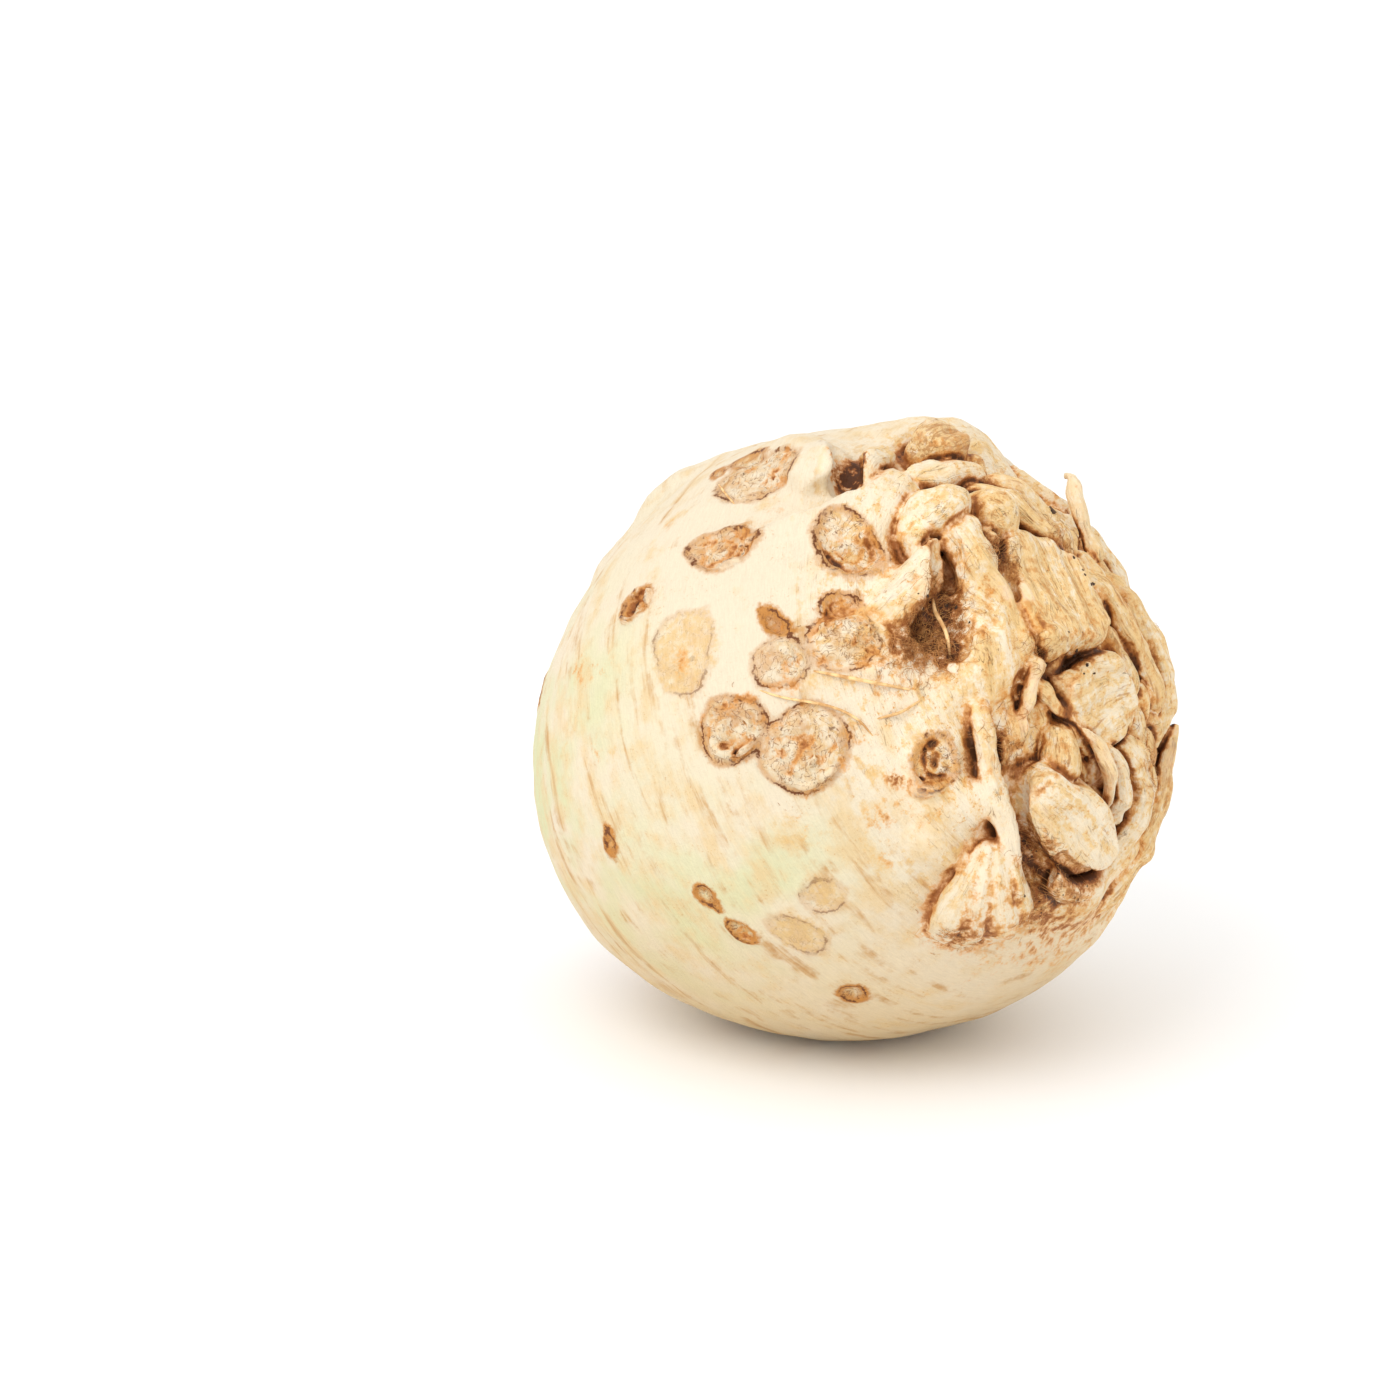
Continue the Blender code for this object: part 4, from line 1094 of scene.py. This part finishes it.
class Paint:
    """A material with one Principled shader, and short ways to add nodes to it."""

    def __init__(self, name, roughness):
        self.material = bpy.data.materials.new(name)
        self.material.use_nodes = True
        self.tree = self.material.node_tree
        self.shader = self.tree.nodes["Principled BSDF"]
        self.shader.inputs["Roughness"].default_value = roughness
        self.shader.inputs["Specular IOR Level"].default_value = PLANT_SHINE

    def join(self, value, socket):
        """Links a node's output to a socket, or sets a plain value on it."""
        if isinstance(value, bpy.types.NodeSocket):
            self.tree.links.new(value, socket)
        else:
            socket.default_value = value

    def node(self, kind, *values, output=0, **settings):
        """The output of a new node that has its settings, and the values on its first sockets."""
        node = self.tree.nodes.new("ShaderNode" + kind)
        for name, setting in settings.items():
            setattr(node, name, setting)
        for value, socket in zip(values, node.inputs):
            self.join(value, socket)
        return node.outputs[output]

    def attribute(self, name, output="Fac"):
        """What the mesh holds under a name."""
        return self.node("Attribute", output=output, attribute_name=name)

    def millimetres(self):
        """The place on the piece, in millimetres."""
        there = self.node("TexCoord", output="Object")
        return self.node("VectorMath", there, (1 / MM,) * 3, operation="MULTIPLY")

    def noise(self, vector, scale, detail=2.0, roughness=0.5, distortion=0.0):
        """A pattern from 0 to 1 that is mostly near a half."""
        node = self.tree.nodes.new("ShaderNodeTexNoise")
        values = (vector, scale, detail, roughness, distortion)
        for value, name in zip(values, ("Vector", "Scale", "Detail", "Roughness", "Distortion")):
            self.join(value, node.inputs[name])
        return node.outputs["Fac"]

    def math(self, operation, *values, clamp=False):
        """The result of a sum or another operation on the values."""
        return self.node("Math", *values, operation=operation, use_clamp=clamp)

    def times(self, first, *others, clamp=False):
        """The values times each other."""
        for other in others:
            first = self.math("MULTIPLY", first, other, clamp=clamp)
        return first

    def plus(self, base, value, factor=1.0):
        """The base plus the value times a factor."""
        return self.math("MULTIPLY_ADD", value, factor, base)

    def relief(self, noise, amount, below=0.0):
        """What is below plus a noise that goes up and down evenly by the amount."""
        return self.math("MULTIPLY_ADD", self.math("SUBTRACT", noise, 0.5), amount, below)

    def step(self, value, start, end, low=0.0, high=1.0):
        """Changes smoothly from low to high as the value goes from start to end."""
        return self.node("MapRange", value, start, end, low, high, interpolation_type="SMOOTHSTEP")

    def band(self, value, inner, outer, most=1.0):
        """The most where the value is near zero, and nothing further off than outer."""
        return self.step(self.math("ABSOLUTE", value), inner, outer, most, 0.0)

    def mix(self, factor, first, second, blend="MIX"):
        """The first colour mixed with the second, as strong as the factor."""
        node = self.tree.nodes.new("ShaderNodeMix")
        node.data_type = "RGBA"
        node.blend_type = blend
        self.join(factor, node.inputs["Factor"])
        self.join(first, node.inputs[6])
        self.join(second, node.inputs[7])
        return node.outputs[2]

    def layer(self, colour, new, *shares):
        """A colour with a new one laid over it, as strong as the shares times each other."""
        return self.mix(self.times(*shares), colour, linear(*new))

    def finish(self, colour, height):
        """Connects the colour, and the height in millimetres as a bump."""
        self.join(colour, self.shader.inputs["Base Color"])
        bump = self.tree.nodes.new("ShaderNodeBump")
        bump.inputs["Strength"].default_value = 1.0
        bump.inputs["Distance"].default_value = MM
        self.join(height, bump.inputs["Height"])
        self.join(bump.outputs[0], self.shader.inputs["Normal"])
        return self.material


class SkinPaint(Paint):
    """The skin's patterns, and the layers of colour that they make.

    Steps that start above a half cover the rarer, higher parts of a pattern.
    """

    def __init__(self):
        super().__init__("celeriac_skin", SKIN_ROUGHNESS)
        self.place = self.millimetres()
        self.grain = self.attribute("grain", "Vector")
        self.root_end = self.attribute("root_end")
        self.scar_tone = self.attribute("scar_tone")
        self.broad = self.noise(self.place, 0.07, 3)
        self.patches = self.noise(self.place, 0.2, 4, 0.6)
        self.mottle = self.noise(self.place, 0.6, 5, 0.65)
        self.spots = self.noise(self.place, 0.55, 4, 0.65, 0.6)
        self.fine = self.noise(self.place, 2.2, 3, 0.6)
        self.streaks = self.noise(self.grain, 0.33, 4, 0.6, 0.4)
        self.fibres = self.noise(self.grain, 1.3, 4, 0.65, 0.3)
        self.threads = self.noise(self.grain, 3.5, 2, 0.6, 0.2)
        self.scar = self.relief(self.mottle, 2.2, self.attribute("scar"))
        wander = self.relief(self.noise(self.grain, 0.4, 3, 0.55, 0.8), 1.0)
        lines = self.times(self.band(wander, 0.0, 0.009), self.step(self.patches, 0.5, 0.62))
        self.lines = self.times(lines, self.step(self.root_end, 0.0, 0.6, 0.06, 0.6))

    def body(self):
        """Cream skin with green and warm zones, and with streaks that run round the growth axis."""
        green = self.times(self.attribute("green"), self.step(self.broad, 0.35, 0.65))
        colour = self.mix(green, linear(*CREAM), linear(*GREEN))
        clouds = self.noise(self.grain, 0.12, 3, 0.6, 0.5)
        clouds = self.plus(self.times(self.patches, 0.5), clouds, 0.5)
        clouds = self.plus(clouds, self.attribute("pale"), -0.09)
        colour = self.layer(colour, WARM, self.step(clouds, 0.44, 0.62, 0.0, 0.75))
        low = self.attribute("low")
        colour = self.layer(colour, WARM, low, self.step(self.broad, 0.2, 0.6, 0.6, 1.3))
        likely = self.step(self.plus(self.streaks, low, 0.08), 0.525, 0.69, 0.0, 0.85)
        colour = self.layer(colour, TAN, likely, self.step(clouds, 0.43, 0.56))
        grit = self.step(self.fine, 0.6, 0.7, 0.0, 0.5)
        colour = self.layer(colour, RUST, grit, self.step(self.patches, 0.48, 0.62, 0.15, 1.0))
        dashes = self.times(self.step(self.fibres, 0.62, 0.72), self.step(self.streaks, 0.54, 0.66, 0.0, 0.6))
        return self.layer(colour, BROWN, dashes, self.step(self.root_end, 0.0, 0.4, 0.25, 0.8))

    def roots(self, colour):
        """Golden to brown roots, with orange flecks and thin dark lines along them."""
        there = self.step(self.root_end, 0.0, 0.3)
        brown = self.plus(self.times(self.root_end, 0.45), self.attribute("tone"), 1.3)
        spread = self.plus(self.times(self.mottle, 0.55), self.streaks, 0.45)
        mottled = self.plus(brown, self.plus(-2.85, spread, 5.6))
        colour = self.layer(colour, GOLDEN, self.step(mottled, 0.1, 0.7, 0.0, 0.85), there)
        colour = self.layer(colour, RUST, self.step(mottled, 0.75, 1.4, 0.0, 0.7), there)
        fibrous = self.plus(brown, self.plus(-2.9, self.fibres, 5.0))
        colour = self.layer(colour, BROWN, self.step(fibrous, 0.55, 1.15, 0.0, 0.7), there)
        flecks = self.times(self.step(self.fine, 0.54, 0.66), self.step(self.mottle, 0.49, 0.6))
        colour = self.layer(colour, ORANGE, flecks, self.step(self.root_end, 0.1, 0.5, 0.0, 0.75))
        return self.layer(colour, EARTH, self.lines)

    def scars(self, colour):
        """Scars with a rusty halo, dark spots and curls and a thin broken rim, and flat golden stains."""
        inside = self.step(self.scar, -0.3, 0.5)
        within = self.times(inside, self.scar_tone, clamp=True)
        colour = self.layer(colour, SCAR, within, self.step(self.mottle, 0.4, 0.6, 0.1, 0.9))
        colour = self.layer(colour, RUST, within, self.step(self.patches, 0.46, 0.6, 0.0, 0.8))
        halo = self.band(self.relief(self.patches, 1.5, self.scar), 0.2, 1.1, 0.85)
        colour = self.layer(colour, RUST, halo, self.scar_tone)
        strong = self.times(self.scar_tone, 1.8, clamp=True)
        spots = self.step(self.spots, 0.61, 0.69, 0.0, 0.8)
        colour = self.layer(colour, DARK_SCAR, inside, strong, spots)
        curls = self.relief(self.noise(self.place, 0.3, 3, 0.55, 1.4), 1.0)
        curls = self.times(self.band(curls, 0.0, 0.02, 0.8), self.step(self.scar, -0.1, 0.6))
        colour = self.layer(colour, CURL, curls, strong)
        rim = self.band(self.relief(self.spots, 1.6, self.scar), 0.08, 0.36)
        colour = self.layer(colour, SCAR_EDGE, rim, strong, self.step(self.patches, 0.44, 0.56, 0.0, 1.1))
        stain = self.step(self.relief(self.mottle, 4.0, self.attribute("stain")), -0.5, 1.5)
        return self.layer(colour, GOLDEN, stain, self.step(self.mottle, 0.35, 0.65, 0.2, 0.75))

    def lit(self, colour):
        """The colour times how much light the skin gives back."""
        light = self.step(self.threads, 0.25, 0.75, *SKIN_LIGHT)
        light = self.times(light, self.step(self.root_end, 0.0, 0.6, 1.0, ROOT_LIGHT))
        return self.mix(1.0, colour, self.node("CombineColor", light, light, light), "MULTIPLY")

    def shade_highlight_and_soil(self, colour):
        """Painted ridge highlights, soil with painted shade in creases and hollows, and soil in earthy
        places.
        """
        # Painted highlight: thin ridges and edges are lightened towards pale cream.
        ridge_highlight = self.times(self.step(self.attribute("ridge"), 0.3, 0.7), self.step(self.mottle, 0.35, 0.6))
        colour = self.layer(colour, RIDGE_HIGHLIGHT, ridge_highlight, 0.7)
        # Painted shade: hollows and creases darken by their cavity and crease, with real soil in earthy
        # places.
        soil_and_shade = self.plus(self.times(self.attribute("cavity"), 1.15), self.attribute("crease"), 0.45)
        soil_and_shade = self.plus(soil_and_shade, self.attribute("earthy"), self.step(self.mottle, 0.3, 0.6, 0.4, 1.2))
        soil_and_shade = self.relief(self.patches, 0.8, self.relief(self.mottle, 1.4, soil_and_shade))
        colour = self.layer(colour, RUST, self.step(soil_and_shade, 0.3, 0.75, 0.0, 0.7))
        colour = self.layer(colour, EARTH, self.step(soil_and_shade, 0.55, 1.0, 0.0, 0.9))
        return self.layer(colour, DARK_SOIL_AND_SHADE, self.step(soil_and_shade, 0.95, 1.35, 0.0, 0.9))

    def relief_height(self):
        """The height of fibres, threads, specks, spots in scars and wrinkles, coarser at the root end."""
        height = self.relief(self.fibres, self.step(self.root_end, 0.0, 0.5, 0.06, 0.22))
        height = self.relief(self.threads, self.step(self.root_end, 0.0, 0.5, 0.05, 0.12), height)
        height = self.relief(self.fine, 0.16, height)
        height = self.relief(self.spots, self.step(self.scar, -0.5, 1.0, 0.03, 0.14), height)
        wrinkles = self.noise(self.grain, 0.9, 3, 0.6, 0.6)
        height = self.relief(wrinkles, self.step(self.root_end, 0.0, 0.6, 0.1, 0.6), height)
        return self.times(self.plus(height, self.lines, -0.25), self.attribute("steady"))


def skin_material():
    """The skin's colours, laid over each other from the body up, and its fine relief."""
    paint = SkinPaint()
    colour = paint.scars(paint.roots(paint.body()))
    return paint.finish(paint.shade_highlight_and_soil(paint.lit(colour)), paint.relief_height())


def surface_radius(grid, towards):
    """How far from the centre the skin is along unit vectors, from the outside."""
    heights = np.arange(*SEARCHED_RADII)
    points = towards[:, None, :] * heights[None, :, None]
    inside = grid.sample(grid.distance, points.reshape(-1, 3)).reshape(len(towards), -1) < 0
    return heights[np.argmax(inside, axis=1)]


def thread_tube(points, radius, sides=4):
    """Points and triangles of a thin closed tube that ends in two tips."""
    tangents = np.gradient(points, axis=0)
    tangents /= np.linalg.norm(tangents, axis=1, keepdims=True) + 1e-9
    helper = np.cross(tangents, (0.3, 0.5, 0.81))
    helper /= np.linalg.norm(helper, axis=1, keepdims=True) + 1e-9
    other = np.cross(tangents, helper)
    thickness = radius * np.sin(np.linspace(THREAD_TIP, math.pi - THREAD_TIP, len(points))) ** 0.5
    rings = []
    for side in range(sides):
        angle = 2 * math.pi * side / sides
        offset = math.cos(angle) * helper + math.sin(angle) * other
        rings.append(points + offset * thickness[:, None])
    corners = np.stack(rings, axis=1).reshape(-1, 3)
    count = len(points)
    faces = []
    for ring in range(count - 1):
        for side in range(sides):
            a = ring * sides + side
            b = ring * sides + (side + 1) % sides
            faces += [(a, b, b + sides), (a, b + sides, a + sides)]
    first, last = len(corners), len(corners) + 1
    corners = np.vstack([corners, points[0] - tangents[0] * radius, points[-1] + tangents[-1] * radius])
    for side in range(sides):
        after = (side + 1) % sides
        faces.append((first, after, side))
        faces.append((last, (count - 1) * sides + side, (count - 1) * sides + after))
    return corners, np.array(faces)


def joined_tubes(tubes):
    """All points and faces of several tubes as one set."""
    corners, faces = zip(*tubes)
    starts = np.cumsum([0] + [len(part) for part in corners])
    return np.vstack(corners), np.vstack([part + start for part, start in zip(faces, starts)])


def hair_route(random, start, length):
    """The directions of a hair's knots as it wanders over the skin."""
    heading = np.cross(start, random.normal(0, 1, 3))
    heading /= np.linalg.norm(heading)
    knots = []
    bend = random.uniform(-HAIR_BEND, HAIR_BEND)
    for _ in range(HAIR_KNOTS):
        knots.append(start)
        bend += random.uniform(-HAIR_WANDER, HAIR_WANDER)
        sideways = np.cross(start, heading)
        heading = math.cos(bend) * heading + math.sin(bend) * sideways
        start = start + heading * length / (HAIR_KNOTS - 1) / BODY_RADIUS
        start = start / np.linalg.norm(start)
        heading -= start * (heading @ start)
        heading /= np.linalg.norm(heading)
    return np.array(knots)


def make_hairs(grid):
    """Tufts of dried hairs that curl over the skin."""
    random = np.random.default_rng(HAIR_SEED)
    bow = np.sin(np.linspace(0, math.pi, HAIR_KNOTS))
    tubes = []
    for turn, rise, spread, count, length, lift in HAIR_TUFTS:
        middle = direction(turn, rise)
        for _ in range(count):
            start = middle + random.normal(0, math.radians(spread) / 2, 3)
            towards = hair_route(random, start / np.linalg.norm(start), length)
            radius = surface_radius(grid, towards)
            raised = lift * bow * random.uniform(0.2, 1.0)
            smooth = np.convolve(np.pad(radius, 1, "edge"), (0.25, 0.5, 0.25), "valid")
            path = towards * (np.maximum(radius, smooth) + raised)[:, None]
            tubes.append(thread_tube(path, random.uniform(*HAIR_RADIUS), 3))
    return joined_tubes(tubes)


def make_fibres(grid):
    """Long pale fibres that lie across the skin."""
    tubes = []
    for radius, lift, route in FIBRES:
        knots = np.array([direction(turn, rise) for turn, rise in route])
        towards, _ = smooth_route(knots, np.zeros(len(knots)), 5)
        towards /= np.linalg.norm(towards, axis=1, keepdims=True)
        height = surface_radius(grid, towards)
        height = np.convolve(np.pad(height, 3, "edge"), np.full(7, 1 / 7), "valid")
        bow = lift * np.sin(np.linspace(0, math.pi, len(towards)))
        tubes.append(thread_tube(towards * (height + bow + radius * 0.5)[:, None], radius, 6))
    return joined_tubes(tubes)


def make_crumbs(grid):
    """Crumbs of soil that cling in the gaps."""
    random = np.random.default_rng(CRUMB_SEED)
    ball = bmesh.new()
    bmesh.ops.create_icosphere(ball, subdivisions=1, radius=1)
    corners = np.array([v.co[:] for v in ball.verts])
    sides = np.array([[v.index for v in face.verts] for face in ball.faces])
    ball.free()
    crumbs = []
    for turn, rise, spread, count, size in CRUMB_PLACES:
        towards = direction(turn, rise) + random.normal(0, math.radians(spread) / 2, (count, 3))
        towards /= np.linalg.norm(towards, axis=1, keepdims=True)
        for middle in towards * surface_radius(grid, towards)[:, None]:
            shape = corners * random.uniform(0.6, 1.3, 3) * size * random.uniform(0.4, 1.0)
            shape += random.normal(0, 0.15 * size, shape.shape)
            crumbs.append((middle + shape, sides))
    return joined_tubes(crumbs)


def thread_material(name, pale, dark):
    """Dried plant threads, paler and darker from place to place."""
    paint = Paint(name, THREAD_ROUGHNESS)
    there = paint.millimetres()
    share = paint.step(paint.noise(there, 0.5, 3), 0.35, 0.65)
    height = paint.times(paint.noise(there, 4.0, 2), 0.03)
    return paint.finish(paint.mix(share, linear(*pale), linear(*dark)), height)


def make_celeriac():
    """The skin, and the hairs, fibres and crumbs that lie on it."""
    grid = make_grid()
    volume = openvdb.FloatGrid(MOST_DEPTH)
    volume.copyFromArray(np.clip(grid.distance, -MOST_DEPTH, MOST_DEPTH))
    points, quads = volume.convertToQuads(0.0)
    mesh = mesh_of("celeriac_skin", points * grid.cell + grid.low, quads)
    skin = piece_of("celeriac_skin", mesh, skin_material())
    thin_out(skin, grid)
    set_looks(skin.data, grid)
    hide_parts("celeriac_root")
    for name, make, material, pale, dark in (
        ("dried_hairs", make_hairs, "dried_hair", HAIR_PALE, HAIR_DARK),
        ("fibres", make_fibres, "fibre", FIBRE_PALE, FIBRE_DARK),
        ("soil_crumbs", make_crumbs, "soil", SOIL_PALE, SOIL_DARK),
    ):
        piece_of(name, mesh_of(name, *make(grid)), thread_material(material, pale, dark))


def make_floor():
    """A pale floor that reaches beyond the picture."""
    paint = Paint("pale_floor", FLOOR_ROUGHNESS)
    paint.shader.inputs["Base Color"].default_value = (*FLOOR_WHITE, 1)
    mesh = bpy.data.meshes.new("floor")
    half = FLOOR_SIZE / 2
    corners = [(-half, -half, 0), (half, -half, 0), (half, half, 0), (-half, half, 0)]
    mesh.from_pydata(corners, [], [(0, 1, 2, 3)])
    mesh.materials.append(paint.material)
    floor = bpy.data.objects.new("floor", mesh)
    bpy.context.scene.collection.objects.link(floor)


def make_light():
    """An even white studio with one wide soft lamp from the upper left."""
    world = bpy.data.worlds.new("studio")
    bpy.context.scene.world = world
    world.use_nodes = True
    background = world.node_tree.nodes["Background"]
    background.inputs["Color"].default_value = (1, 1, 1, 1)
    background.inputs["Strength"].default_value = STUDIO_STRENGTH
    lamp = bpy.data.lights.new("key", "AREA")
    lamp.energy = KEY_POWER
    lamp.size = KEY_SIZE
    key = bpy.data.objects.new("key", lamp)
    bpy.context.scene.collection.objects.link(key)
    key.location = KEY_PLACE
    to_middle = Vector((0, 0, CENTRE_HEIGHT * MM)) - key.location
    key.rotation_euler = to_middle.to_track_quat("-Z", "Y").to_euler()


def make_camera():
    """A long lens that looks down a little from the left, and how bright the picture is."""
    camera = bpy.data.cameras.new("camera")
    camera.lens = CAMERA_LENS
    eye = bpy.data.objects.new("camera", camera)
    bpy.context.scene.collection.objects.link(eye)
    bpy.context.scene.camera = eye
    rise = math.radians(CAMERA_RISE)
    back = Vector((0, -math.cos(rise), math.sin(rise)))
    right = Vector((1, 0, 0))
    up = back.cross(right)
    left, raised, away = CAMERA_OFFSETS
    spot = Vector((0, 0, CENTRE_HEIGHT)) + away * back - left * right + raised * up
    eye.matrix_world = Matrix.Translation(spot * MM) @ Matrix((right, up, back)).transposed().to_4x4()
    bpy.context.scene.view_settings.view_transform = "Standard"
    bpy.context.scene.view_settings.exposure = EXPOSURE


make_celeriac()
make_floor()
make_light()
make_camera()
